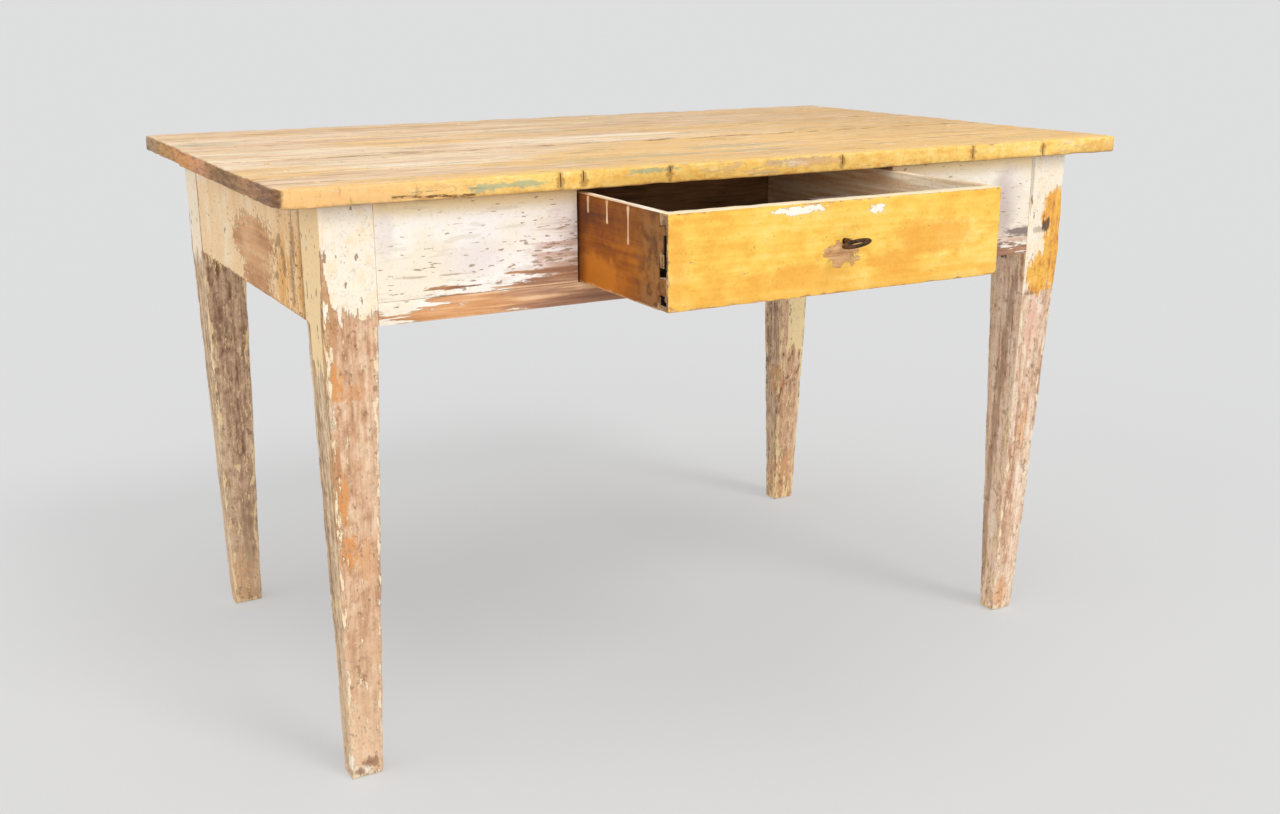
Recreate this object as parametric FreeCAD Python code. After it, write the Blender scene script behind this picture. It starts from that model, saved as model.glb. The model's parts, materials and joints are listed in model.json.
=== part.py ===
import FreeCAD, Part
import os

# An old painted work table: a board top on four tapered legs, with one drawer that stands part open.
# The table is laid out about the middle of its frame, with X to the right, Y to the back, Z up and
# the floor at zero. Every size is in millimetres.

# The whole table
table_height = 770.0
frame_length = 1150.0
frame_depth = 712.0

# The top and its boards, counted from the front
top_thickness = 24.0
overhang_left = 49.0
overhang_right = 85.0
overhang_front = 20.0
overhang_back = 60.0
top_board_shares = (0.18, 0.22, 0.26, 0.34)
board_seam = 0.5

# Legs: heads a little deeper than wide, tapered by hand below the apron, so that each foot stands in by
# its own amounts
leg_width = 66.0
leg_depth = 76.0
foot_width = 37.0
foot_depth = 30.0
front_left_foot_inset_x = 6.0
front_left_foot_inset_y = 30.0
front_right_foot_inset_x = 21.0
front_right_foot_inset_y = 27.0
back_left_foot_inset_x = 12.0
back_left_foot_inset_y = 15.0
back_right_foot_inset_x = 24.0
back_right_foot_inset_y = 28.0

# Aprons, the low front rail, and the tenons that hold them
apron_height = 146.0
apron_thickness = 24.0
front_rail_height = 28.0
tenon_thickness = 8.0
tenon_end_gap = 4.0
tenon_shoulder_share = 0.12
mortise_slack = 0.15
peg_diameter = 9.0
peg_spacing = 3.0
peg_hole_slack = 0.1
wide_tenon_peg_shares = (0.28, 0.72)
narrow_tenon_peg_shares = (0.5,)

# Battens under the top
batten_width = 50.0
batten_thickness = 22.0
batten_end_gap = 3.0
batten_offset = 40.0

# Nails
nail_diameter = 3.2
nail_head_diameter = 7.0
nail_head_height = 1.6
nail_hole_slack = 0.1
nail_grip = 26.0
small_nail_diameter = 2.2
small_nail_head_diameter = 5.0
small_nail_head_height = 1.2
small_nail_grip = 13.0
nail_pair_shares = (0.25, 0.75)
back_nail_shares = (0.15, 0.38, 0.62, 0.85)
guide_nail_shares = (0.1, 0.5, 0.9)
middle_share = 0.5

# The drawer's opening and what carries the drawer
opening_width = 493.0
runner_height = 24.0
runner_bearing = 20.0
runner_stub_length = 10.0
runner_stub_width_share = 0.5
runner_stub_height_share = 0.45
guide_width = 24.0
guide_height = 30.0
stop_length = 40.0
stop_height = 25.0
stop_gap = 0.4

# The drawer
drawer_open = 221.0
drawer_length = 520.0
drawer_side_gap = 2.0
drawer_top_gap = 5.0
drawer_running_gap = 0.3
drawer_front_thickness = 20.0
drawer_side_thickness = 12.0
drawer_back_thickness = 12.0
drawer_back_drop = 6.0
drawer_bottom_thickness = 8.0
drawer_bottom_lift = 9.0
groove_depth = 5.0
groove_slack = 0.15
dovetail_lap = 6.0
dovetail_slack = 0.5
dovetail_centre_shares = (0.27, 0.73)
dovetail_root_share = 0.24
dovetail_flare_share = 0.035
drawer_side_nail_shares = (0.3, 0.55, 0.8)
drawer_bottom_nail_shares = (0.15, 0.5, 0.85)
drawer_bottom_split_share = 0.52

# The lock on the inner face of the drawer front
keyhole_height_share = 0.56
keyhole_radius = 3.6
keyhole_slot_width = 4.2
keyhole_slot_length = 9.5
lock_width = 64.0
lock_height = 84.0
lock_depth = 12.0
lock_wall = 1.5
lock_top_gap = 1.0
lock_plate_thickness = 2.0
lock_flange = 10.0
lock_running_gap = 0.4
lock_screw_radius = 1.8
lock_screw_head_radius = 3.6
lock_screw_head_height = 1.6
lock_screw_slot = 0.8
lock_screw_grip = 13.0
lock_screw_height_shares = (0.15, 0.85)
bolt_width = 14.0
bolt_thickness = 4.0
bolt_tail = 20.0
bolt_throw = 10.0
bolt_notch_depth = 2.5
bolt_notch_height = 6.6
bolt_pocket_slack = 1.0
bolt_pocket_depth = 6.0

# The key
shank_radius = 3.0
shank_out = 13.0
bow_radius = 10.5
bow_wire_radius = 2.0
collar_radius = 4.4
collar_length = 3.0
collar_place_share = 0.5
bit_reach = 8.0
bit_thickness = 3.0
bit_length = 6.5
bit_clear_share = 0.85

# One overrun serves every cut that has to break through a face
cut_overrun = 1.0

# Levels, faces and places worked out from the sizes above
half_length = frame_length / 2
half_depth = frame_depth / 2
underside = table_height - top_thickness
apron_bottom = underside - apron_height
rail_top = apron_bottom + front_rail_height
apron_inner = half_depth - apron_thickness
leg_inner_x = half_length - leg_width
leg_inner_y = half_depth - leg_depth
long_tenon_length = leg_width - apron_thickness - tenon_end_gap
cross_tenon_length = leg_depth - apron_thickness - tenon_end_gap
tenon_setback = (apron_thickness - tenon_thickness) / 2
peg_radius = peg_diameter / 2
long_peg_length = leg_depth - cross_tenon_length / 2 - peg_radius - peg_spacing
cross_peg_length = leg_width - long_tenon_length / 2 - peg_radius - peg_spacing

top_left = -half_length - overhang_left
top_right = half_length + overhang_right
top_front = -half_depth - overhang_front
top_back = half_depth + overhang_back
top_depth = top_back - top_front

opening_half = opening_width / 2
runner_inner = opening_half - runner_bearing
runner_outer = opening_half + guide_width
runner_middle = (runner_inner + runner_outer) / 2
batten_middle = runner_outer + batten_offset + batten_width / 2

drawer_half = opening_half - drawer_side_gap
drawer_inner_half = drawer_half - drawer_side_thickness
drawer_low = rail_top + drawer_running_gap
drawer_top = underside - drawer_top_gap
drawer_height = drawer_top - drawer_low
drawer_face = -half_depth - drawer_open
drawer_front_inner = drawer_face + drawer_front_thickness
drawer_rear = drawer_face + drawer_length
drawer_closed_rear = drawer_rear + drawer_open
bottom_low = drawer_low + drawer_bottom_lift
bottom_high = bottom_low + drawer_bottom_thickness
drawer_back_front = drawer_rear - drawer_back_thickness
drawer_back_top = drawer_top - drawer_back_drop

key_height = drawer_low + drawer_height * keyhole_height_share
lock_half = lock_width / 2
lock_high = drawer_top - lock_top_gap
lock_low = lock_high - lock_height
lock_plate_back = drawer_front_inner + lock_plate_thickness
lock_back = lock_plate_back + lock_depth
bolt_left = bit_reach * bit_clear_share
bolt_right = bolt_left + bolt_width
bolt_front = lock_plate_back + lock_running_gap
bolt_back = bolt_front + bolt_thickness
bow_centre = drawer_face - shank_out - bow_radius
key_tip = bow_centre - bow_radius - bow_wire_radius

# The origin lies on the floor, under the middle of everything the table covers with its drawer open
plan_middle = FreeCAD.Vector((top_left + top_right) / 2, (key_tip + top_back) / 2, 0)

SIDES = {"left": -1, "right": 1}
ENDS = {"front": -1, "back": 1}

# How far each foot's outer faces stand in from the leg's head
FOOT_INSETS = {
    ("left", "front"): (front_left_foot_inset_x, front_left_foot_inset_y),
    ("right", "front"): (front_right_foot_inset_x, front_right_foot_inset_y),
    ("left", "back"): (back_left_foot_inset_x, back_left_foot_inset_y),
    ("right", "back"): (back_right_foot_inset_x, back_right_foot_inset_y),
}


def between(start, end, share):
    """The place that lies a share of the way from start to end."""
    return start + (end - start) * share


def block(x_span, y_span, z_span):
    """A box between two places on each axis, given in either order."""
    spans = (x_span, y_span, z_span)
    low = FreeCAD.Vector(*(min(span) for span in spans))
    sizes = [max(span) - min(span) for span in spans]
    return Part.makeBox(*sizes, low)


def rod(radius, start, direction, length):
    """A round rod that leaves start along direction."""
    return Part.makeCylinder(radius, length, start, direction)


def nail(head_place, direction, through, small=False, slack=0):
    """A nail driven flush at head_place, gripping past the thickness that it goes through.

    With slack it is the hole that takes the nail.
    """
    shank = (small_nail_diameter if small else nail_diameter) / 2 + slack
    head = (small_nail_head_diameter if small else nail_head_diameter) / 2 + slack
    head_height = (small_nail_head_height if small else nail_head_height) + slack
    grip = small_nail_grip if small else nail_grip
    body = rod(shank, head_place, direction, through + grip + slack)
    return body.fuse(rod(head, head_place, direction, head_height))


def nail_set(places, direction, through, small=False):
    """Equal nails at several places, and the holes that take them."""
    nails = [nail(place, direction, through, small) for place in places]
    holes = [nail(place, direction, through, small, nail_hole_slack) for place in places]
    return nails, holes


def rectangle(x_span, y_span, level):
    """A closed rectangle at one level."""
    low_x, high_x = sorted(x_span)
    low_y, high_y = sorted(y_span)
    corners = [(low_x, low_y), (high_x, low_y), (high_x, high_y), (low_x, high_y), (low_x, low_y)]
    return Part.makePolygon([FreeCAD.Vector(x, y, level) for x, y in corners])


# Tenons and pegs


def long_tenon(side, end, low, high, slack=0):
    """The tenon of a lengthwise rail into one leg, or with slack the mortise that takes it."""
    shoulder = (high - low) * tenon_shoulder_share
    root = leg_inner_x - (cut_overrun if slack else 0)
    cheek = half_depth - tenon_setback
    return block(
        (side * root, side * (leg_inner_x + long_tenon_length + slack)),
        (end * (cheek + slack), end * (cheek - tenon_thickness - slack)),
        (low + shoulder - slack, high - shoulder + slack),
    )


def cross_tenon(side, end, low, high, slack=0):
    """The tenon of an end apron into one leg, or with slack the mortise that takes it."""
    shoulder = (high - low) * tenon_shoulder_share
    root = leg_inner_y - (cut_overrun if slack else 0)
    cheek = half_length - tenon_setback
    return block(
        (side * (cheek + slack), side * (cheek - tenon_thickness - slack)),
        (end * root, end * (leg_inner_y + cross_tenon_length + slack)),
        (low + shoulder - slack, high - shoulder + slack),
    )


def peg_levels(low, high, shares):
    """Heights of the pegs in a tenon."""
    shoulder = (high - low) * tenon_shoulder_share
    return [between(low + shoulder, high - shoulder, share) for share in shares]


def long_pegs(side, end, low, high, shares, slack=0):
    """Pegs driven from the front or the back through a lengthwise tenon."""
    x = side * (leg_inner_x + long_tenon_length / 2)
    levels = peg_levels(low, high, shares)
    starts = [FreeCAD.Vector(x, end * half_depth, level) for level in levels]
    inwards = FreeCAD.Vector(0, -end, 0)
    return [rod(peg_radius + slack, start, inwards, long_peg_length + slack) for start in starts]


def cross_pegs(side, end, low, high, shares, slack=0):
    """Pegs driven from an end of the table through an end apron's tenon."""
    y = end * (leg_inner_y + cross_tenon_length / 2)
    levels = peg_levels(low, high, shares)
    starts = [FreeCAD.Vector(side * half_length, y, level) for level in levels]
    inwards = FreeCAD.Vector(-side, 0, 0)
    return [rod(peg_radius + slack, start, inwards, cross_peg_length + slack) for start in starts]


WIDE = (apron_bottom, underside)
PANEL = (rail_top, underside)
RAIL = (apron_bottom, rail_top)


def joints_of_leg(side, end):
    """Each tenon that enters one leg: its maker, the maker of its pegs, its height and its pegs."""
    joints = [(cross_tenon, cross_pegs, WIDE, wide_tenon_peg_shares)]
    if end == ENDS["front"]:
        joints.append((long_tenon, long_pegs, PANEL, wide_tenon_peg_shares))
        joints.append((long_tenon, long_pegs, RAIL, narrow_tenon_peg_shares))
    else:
        joints.append((long_tenon, long_pegs, WIDE, wide_tenon_peg_shares))
    return joints


def all_pegs(slack=0):
    """Every peg of the frame, or with slack the holes bored for them."""
    pegs = []
    for side in SIDES.values():
        for end in ENDS.values():
            for _, peg_maker, height, shares in joints_of_leg(side, end):
                pegs += peg_maker(side, end, *height, shares, slack)
    return pegs


# The frame


def foot_spans(side_name, end_name):
    """Where one foot stands on the floor, along the table and across it."""
    side, end = SIDES[side_name], ENDS[end_name]
    inset_x, inset_y = FOOT_INSETS[side_name, end_name]
    outer_x = half_length - inset_x
    outer_y = half_depth - inset_y
    x_span = (side * outer_x, side * (outer_x - foot_width))
    y_span = (end * outer_y, end * (outer_y - foot_depth))
    return x_span, y_span


def leg(side_name, end_name):
    """One leg: a straight head as high as the apron, tapered on four sides down to the foot."""
    side, end = SIDES[side_name], ENDS[end_name]
    head_x = (side * half_length, side * leg_inner_x)
    head_y = (end * half_depth, end * leg_inner_y)
    sections = [
        rectangle(*foot_spans(side_name, end_name), 0),
        rectangle(head_x, head_y, apron_bottom),
        rectangle(head_x, head_y, underside),
    ]
    post = Part.makeLoft(sections, True, True)
    mortises = [
        tenon_maker(side, end, *height, mortise_slack)
        for tenon_maker, _, height, _ in joints_of_leg(side, end)
    ]
    return post.cut(mortises)


def front_panel(side):
    """The front apron beside the drawer, from its leg to the opening, standing on the rail."""
    end = ENDS["front"]
    board = block((side * leg_inner_x, side * opening_half), (end * half_depth, end * apron_inner), PANEL)
    return board.fuse(long_tenon(side, end, *PANEL)).removeSplitter()


def long_rail(end, height):
    """A lengthwise rail from leg to leg, with a tenon at both ends."""
    board = block((-leg_inner_x, leg_inner_x), (end * half_depth, end * apron_inner), height)
    tenons = [long_tenon(side, end, *height) for side in SIDES.values()]
    return board.fuse(tenons).removeSplitter()


def end_apron(side):
    """The apron across one end of the table."""
    outer = side * half_length
    inner = side * (half_length - apron_thickness)
    board = block((outer, inner), (-leg_inner_y, leg_inner_y), WIDE)
    tenons = [cross_tenon(side, end, *WIDE) for end in ENDS.values()]
    return board.fuse(tenons).removeSplitter()


# The top


def top_board_spans():
    """Where each board of the top starts and ends, from the front to the back."""
    spans = []
    front = top_front
    for share in top_board_shares:
        back = front + top_depth * share
        spans.append((front, back))
        front = back
    return spans


def top_boards():
    """The boards of the top, with a hairline seam between neighbours."""
    boards = []
    for front, back in top_board_spans():
        near = front if front == top_front else front + board_seam / 2
        far = back - board_seam / 2 if len(boards) < len(top_board_shares) - 1 else top_back
        boards.append(block((top_left, top_right), (near, far), (underside, table_height)))
    return boards


def held_span(span, limit):
    """The part of a board's width that lies over the frame, within limit on each side of the middle."""
    return max(span[0], -limit), min(span[1], limit)


def top_nail_places():
    """Nails through the top: two in each board at both ends, and rows along the front and the back."""
    end_row = half_length - apron_thickness / 2
    long_row = half_depth - apron_thickness / 2
    places = []
    for span in top_board_spans():
        for share in nail_pair_shares:
            y = between(*held_span(span, half_depth), share)
            places += [(side * end_row, y) for side in SIDES.values()]
    for side in SIDES.values():
        for share in nail_pair_shares:
            places.append((side * between(leg_inner_x, opening_half, share), -long_row))
    places += [(between(-leg_inner_x, leg_inner_x, share), long_row) for share in back_nail_shares]
    return [FreeCAD.Vector(x, y, table_height) for x, y in places]


def top_batten(side):
    """A batten across the boards, under the top and inside the aprons."""
    inner = side * (batten_middle - batten_width / 2)
    outer = side * (batten_middle + batten_width / 2)
    reach = apron_inner - batten_end_gap
    return block((inner, outer), (-reach, reach), (underside - batten_thickness, underside))


def batten_nail_places(side):
    """Nails up through a batten, two in each board and to each side of the batten's middle in turn."""
    places = []
    for span in top_board_spans():
        for share in nail_pair_shares:
            x = side * (batten_middle + batten_width * (share - middle_share))
            y = between(*held_span(span, apron_inner), share)
            places.append(FreeCAD.Vector(x, y, underside - batten_thickness))
    return places


# What carries the drawer


def runner_stub(side, slack=0):
    """The stub tenon at a runner's front end, or with slack its mortise in the rail."""
    half_width = (runner_outer - runner_inner) * runner_stub_width_share / 2 + slack
    half_height = runner_height * runner_stub_height_share / 2 + slack
    middle = rail_top - runner_height / 2
    root = -apron_inner + (cut_overrun if slack else 0)
    return block(
        (side * (runner_middle - half_width), side * (runner_middle + half_width)),
        (root, -apron_inner - runner_stub_length - slack),
        (middle - half_height, middle + half_height),
    )


def drawer_runner(side):
    """The runner that carries one side of the drawer, from the front rail to the back apron."""
    x_span = (side * runner_inner, side * runner_outer)
    body = block(x_span, (-apron_inner, apron_inner), (rail_top - runner_height, rail_top))
    return body.fuse(runner_stub(side)).removeSplitter()


def runner_nail_places(side):
    """Nails from the back of the table through the back apron into a runner's end."""
    level = rail_top - runner_height / 2
    xs = [side * between(runner_inner, runner_outer, share) for share in nail_pair_shares]
    return [FreeCAD.Vector(x, half_depth, level) for x in xs]


def drawer_guide(side):
    """The strip on the runner that keeps the drawer from straying sideways."""
    x_span = (side * opening_half, side * runner_outer)
    return block(x_span, (-apron_inner, apron_inner), (rail_top, rail_top + guide_height))


def guide_nail_places(side):
    """Nails down through a guide into its runner."""
    x = side * (opening_half + guide_width / 2)
    ys = [between(-apron_inner, apron_inner, share) for share in guide_nail_shares]
    return [FreeCAD.Vector(x, y, rail_top + guide_height) for y in ys]


def drawer_stop(side):
    """The block on the runner that the drawer's side meets when the drawer is shut."""
    front = drawer_closed_rear + stop_gap
    return block(
        (side * runner_inner, side * opening_half),
        (front, front + stop_length),
        (rail_top, rail_top + stop_height),
    )


def stop_nail_place(side):
    """The nail down through a stop block."""
    x = side * (runner_inner + opening_half) / 2
    y = drawer_closed_rear + stop_gap + stop_length / 2
    return FreeCAD.Vector(x, y, rail_top + stop_height)


# The drawer


def dovetails(side, slack=0):
    """The tails at the front end of a drawer side, or with slack the sockets that take them."""
    root = drawer_height * dovetail_root_share / 2 + slack
    tip = root + drawer_height * dovetail_flare_share
    tip_y = drawer_face + dovetail_lap - slack
    root_y = drawer_front_inner + (cut_overrun if slack else 0)
    inner = drawer_inner_half - slack
    width = drawer_side_thickness + slack + (cut_overrun if slack else 0)
    start_x = inner if side > 0 else -inner - width
    tails = []
    for share in dovetail_centre_shares:
        middle = drawer_low + drawer_height * share
        outline = [(root_y, -root), (tip_y, -tip), (tip_y, tip), (root_y, root), (root_y, -root)]
        corners = [FreeCAD.Vector(start_x, y, middle + z) for y, z in outline]
        tails.append(Part.Face(Part.makePolygon(corners)).extrude(FreeCAD.Vector(width, 0, 0)))
    return tails


def bottom_groove():
    """The groove for the drawer's bottom, cut into the front and both sides."""
    half = drawer_inner_half + groove_depth + groove_slack
    front = drawer_front_inner - groove_depth - groove_slack
    return block(
        (-half, half),
        (front, drawer_rear + cut_overrun),
        (bottom_low - groove_slack, bottom_high + groove_slack),
    )


def drawer_front():
    """The drawer front, with dovetail sockets, the groove for the bottom and the keyhole."""
    board = block(
        (-drawer_half, drawer_half), (drawer_face, drawer_front_inner), (drawer_low, drawer_top)
    )
    sockets = [socket for side in SIDES.values() for socket in dovetails(side, dovetail_slack)]
    through = keyhole(drawer_face - cut_overrun, drawer_front_inner + cut_overrun)
    return board.cut(sockets + [bottom_groove(), through])


def drawer_side(side):
    """A drawer side, with tails at its front end and a groove for the bottom."""
    body = block(
        (side * drawer_inner_half, side * drawer_half),
        (drawer_front_inner, drawer_rear),
        (drawer_low, drawer_top),
    )
    return body.fuse(dovetails(side)).removeSplitter().cut(bottom_groove())


def drawer_back():
    """The drawer's back, between the sides and standing on the bottom."""
    return block(
        (-drawer_inner_half, drawer_inner_half),
        (drawer_back_front, drawer_rear),
        (bottom_high, drawer_back_top),
    )


def drawer_bottoms():
    """The two boards of the drawer's bottom, front and rear, which lie in the grooves."""
    half = drawer_inner_half + groove_depth
    front = drawer_front_inner - groove_depth
    split = between(front, drawer_rear, drawer_bottom_split_share)
    spans = [(front, split - board_seam / 2), (split + board_seam / 2, drawer_rear)]
    return [block((-half, half), span, (bottom_low, bottom_high)) for span in spans]


def drawer_side_nail_places(side):
    """Nails through a drawer side into the end of the back."""
    y = drawer_back_front + drawer_back_thickness / 2
    levels = [between(bottom_high, drawer_back_top, share) for share in drawer_side_nail_shares]
    return [FreeCAD.Vector(side * drawer_half, y, level) for level in levels]


def drawer_bottom_nail_places():
    """Nails up through the bottom into the back."""
    y = drawer_back_front + drawer_back_thickness / 2
    shares = drawer_bottom_nail_shares
    xs = [between(-drawer_inner_half, drawer_inner_half, share) for share in shares]
    return [FreeCAD.Vector(x, y, bottom_low) for x in xs]


# The lock and the key


def keyhole(front, back):
    """A keyhole from front to back: a round hole with a slot below it for the key's bit."""
    centre = FreeCAD.Vector(0, front, key_height)
    round_hole = rod(keyhole_radius, centre, FreeCAD.Vector(0, 1, 0), back - front)
    half_slot = keyhole_slot_width / 2
    slot = block((-half_slot, half_slot), (front, back), (key_height - keyhole_slot_length, key_height))
    return round_hole.fuse(slot)


def lock_plate():
    """The plate screwed to the inner face of the drawer front."""
    half = lock_half + lock_flange
    plate = block((-half, half), (drawer_front_inner, lock_plate_back), (lock_low, lock_high))
    return plate.cut(keyhole(drawer_front_inner - cut_overrun, lock_plate_back + cut_overrun))


def lock_case():
    """The case behind the plate, open towards it, with a slot in its top for the bolt."""
    shell = block((-lock_half, lock_half), (lock_plate_back, lock_back), (lock_low, lock_high))
    half_room = lock_half - lock_wall
    room = block(
        (-half_room, half_room),
        (lock_plate_back - cut_overrun, lock_back - lock_wall),
        (lock_low + lock_wall, lock_high - lock_wall),
    )
    slot = block(
        (bolt_left - lock_running_gap, bolt_right + lock_running_gap),
        (lock_plate_back - cut_overrun, bolt_back + lock_running_gap),
        (lock_high - lock_wall - cut_overrun, lock_high + cut_overrun),
    )
    return shell.cut([room, slot])


def lock_screws(slack=0):
    """Four slotted screws through the plate into the drawer front, or with slack their holes."""
    screws = []
    for side in SIDES.values():
        for share in lock_screw_height_shares:
            x = side * (lock_half + lock_flange / 2)
            level = between(lock_low, lock_high, share)
            start = FreeCAD.Vector(x, lock_plate_back, level)
            length = lock_plate_thickness + lock_screw_grip + slack
            shank = rod(lock_screw_radius + slack, start, FreeCAD.Vector(0, -1, 0), length)
            if slack:
                screws.append(shank)
                continue
            head = rod(lock_screw_head_radius, start, FreeCAD.Vector(0, 1, 0), lock_screw_head_height)
            head_back = lock_plate_back + lock_screw_head_height
            slot = block(
                (x - lock_screw_head_radius, x + lock_screw_head_radius),
                (head_back - lock_screw_slot, head_back + cut_overrun),
                (level - lock_screw_slot / 2, level + lock_screw_slot / 2),
            )
            screws.append(shank.fuse(head).cut(slot))
    return screws


def lock_bolt():
    """The bolt, a flat bar beside the key with the notch that the key's bit drives."""
    bar = block((bolt_left, bolt_right), (bolt_front, bolt_back), (key_height - bolt_tail, lock_high))
    half_notch = bolt_notch_height / 2
    notch = block(
        (bolt_left - cut_overrun, bolt_left + bolt_notch_depth),
        (bolt_front - cut_overrun, bolt_back + cut_overrun),
        (key_height - half_notch, key_height + half_notch),
    )
    return bar.cut(notch)


def bolt_pocket():
    """The pocket in the underside of the top that the bolt enters when the shut drawer is locked."""
    return block(
        (bolt_left - bolt_pocket_slack, bolt_right + bolt_pocket_slack),
        (bolt_front + drawer_open - bolt_pocket_slack, bolt_back + drawer_open + bolt_pocket_slack),
        (underside - cut_overrun, underside + bolt_pocket_depth),
    )


def key():
    """The key in its keyhole, a quarter turn round, with its ring lying level."""
    ring_centre = FreeCAD.Vector(0, bow_centre, key_height)
    ring = Part.makeTorus(bow_radius, bow_wire_radius, ring_centre, FreeCAD.Vector(0, 0, 1))
    shank_start = FreeCAD.Vector(0, drawer_face - shank_out, key_height)
    bit_start = lock_plate_back + lock_running_gap
    shank_length = bit_start + bit_length - shank_start.y
    inwards = FreeCAD.Vector(0, 1, 0)
    shank = rod(shank_radius, shank_start, inwards, shank_length)
    collar_start = FreeCAD.Vector(0, drawer_face - shank_out * collar_place_share, key_height)
    collar = rod(collar_radius, collar_start, inwards, collar_length)
    half_bit = bit_thickness / 2
    bit = block(
        (0, bit_reach), (bit_start, bit_start + bit_length), (key_height - half_bit, key_height + half_bit)
    )
    return shank.fuse([ring, collar, bit])


# The whole table


def frame_pieces():
    """The top, the legs, the aprons and what carries the drawer."""
    up = FreeCAD.Vector(0, 0, 1)
    down = FreeCAD.Vector(0, 0, -1)
    forwards = FreeCAD.Vector(0, -1, 0)
    sides = SIDES.values()

    top_nails, top_holes = nail_set(top_nail_places(), down, top_thickness)
    batten_places = [place for side in sides for place in batten_nail_places(side)]
    batten_nails, batten_holes = nail_set(batten_places, up, batten_thickness, small=True)
    runner_places = [place for side in sides for place in runner_nail_places(side)]
    runner_nails, runner_holes = nail_set(runner_places, forwards, apron_thickness)
    guide_places = [place for side in sides for place in guide_nail_places(side)]
    guide_nails, guide_holes = nail_set(guide_places, down, guide_height, small=True)
    stop_places = [stop_nail_place(side) for side in sides]
    stop_nails, stop_holes = nail_set(stop_places, down, stop_height, small=True)
    frame_holes = all_pegs(peg_hole_slack) + top_holes

    pieces = {}
    for number, board in enumerate(top_boards(), start=1):
        pieces[f"top_board_{number}"] = board.cut(top_holes + batten_holes + [bolt_pocket()])
    for end_name in ENDS:
        for side_name in SIDES:
            pieces[f"leg_{end_name}_{side_name}"] = leg(side_name, end_name).cut(frame_holes)
    for side_name, side in SIDES.items():
        pieces[f"top_batten_{side_name}"] = top_batten(side).cut(batten_holes)
        pieces[f"front_panel_{side_name}"] = front_panel(side).cut(frame_holes)
        pieces[f"end_apron_{side_name}"] = end_apron(side).cut(frame_holes)
        runner_cuts = runner_holes + guide_holes + stop_holes
        pieces[f"drawer_runner_{side_name}"] = drawer_runner(side).cut(runner_cuts)
        pieces[f"drawer_guide_{side_name}"] = drawer_guide(side).cut(guide_holes)
        pieces[f"drawer_stop_{side_name}"] = drawer_stop(side).cut(stop_holes)
    stub_mortises = [runner_stub(side, mortise_slack) for side in sides]
    pieces["front_rail"] = long_rail(ENDS["front"], RAIL).cut(frame_holes + stub_mortises)
    pieces["back_apron"] = long_rail(ENDS["back"], WIDE).cut(frame_holes + runner_holes)
    pieces["tenon_pegs"] = Part.makeCompound(all_pegs())
    pieces["top_nails"] = Part.makeCompound(top_nails)
    pieces["batten_nails"] = Part.makeCompound(batten_nails)
    pieces["runner_nails"] = Part.makeCompound(runner_nails)
    pieces["guide_nails"] = Part.makeCompound(guide_nails + stop_nails)
    return pieces


def drawer_pieces():
    """The drawer with its lock, the lock's bolt and the key."""
    up = FreeCAD.Vector(0, 0, 1)
    nails, holes = nail_set(drawer_bottom_nail_places(), up, drawer_bottom_thickness, small=True)
    for side in SIDES.values():
        inwards = FreeCAD.Vector(-side, 0, 0)
        places = drawer_side_nail_places(side)
        side_nails, side_holes = nail_set(places, inwards, drawer_side_thickness, small=True)
        nails += side_nails
        holes += side_holes
    screw_holes = lock_screws(nail_hole_slack)

    pieces = {"drawer_front": drawer_front().cut(screw_holes)}
    for side_name, side in SIDES.items():
        pieces[f"drawer_side_{side_name}"] = drawer_side(side).cut(holes)
    pieces["drawer_back"] = drawer_back().cut(holes)
    bottom_front, bottom_rear = drawer_bottoms()
    pieces["drawer_bottom_front"] = bottom_front
    pieces["drawer_bottom_rear"] = bottom_rear.cut(holes)
    pieces["drawer_nails"] = Part.makeCompound(nails)
    pieces["lock_plate"] = lock_plate().cut(screw_holes)
    pieces["lock_case"] = lock_case()
    pieces["lock_screws"] = Part.makeCompound(lock_screws())
    pieces["lock_bolt"] = lock_bolt()
    pieces["key"] = key()
    return pieces


def write_parts():
    """Writes each piece to its own file, moved so that the plan's middle is the origin."""
    os.makedirs("parts", exist_ok=True)
    for name, shape in {**frame_pieces(), **drawer_pieces()}.items():
        shape.translate(plan_middle * -1)
        shape.exportStep(f"parts/{name}.step")
        print(name, len(shape.Solids), "solids,", round(shape.Volume), "cubic mm, valid:", shape.isValid())


write_parts()
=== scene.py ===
# %% [markdown]
# # An old painted work table with one drawer
#
# The table is boards, four tapered legs and a drawer, painted more than once and worn through to the wood.
# Its construction comes as a fixed frame of plain solids. This lesson models each wooden piece again around
# that frame, with eased edges, dents and chips, and then paints it and wears the paint away.

import json
import math
from contextlib import contextmanager

import bmesh
import bpy
from mathutils import Matrix, Vector


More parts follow.
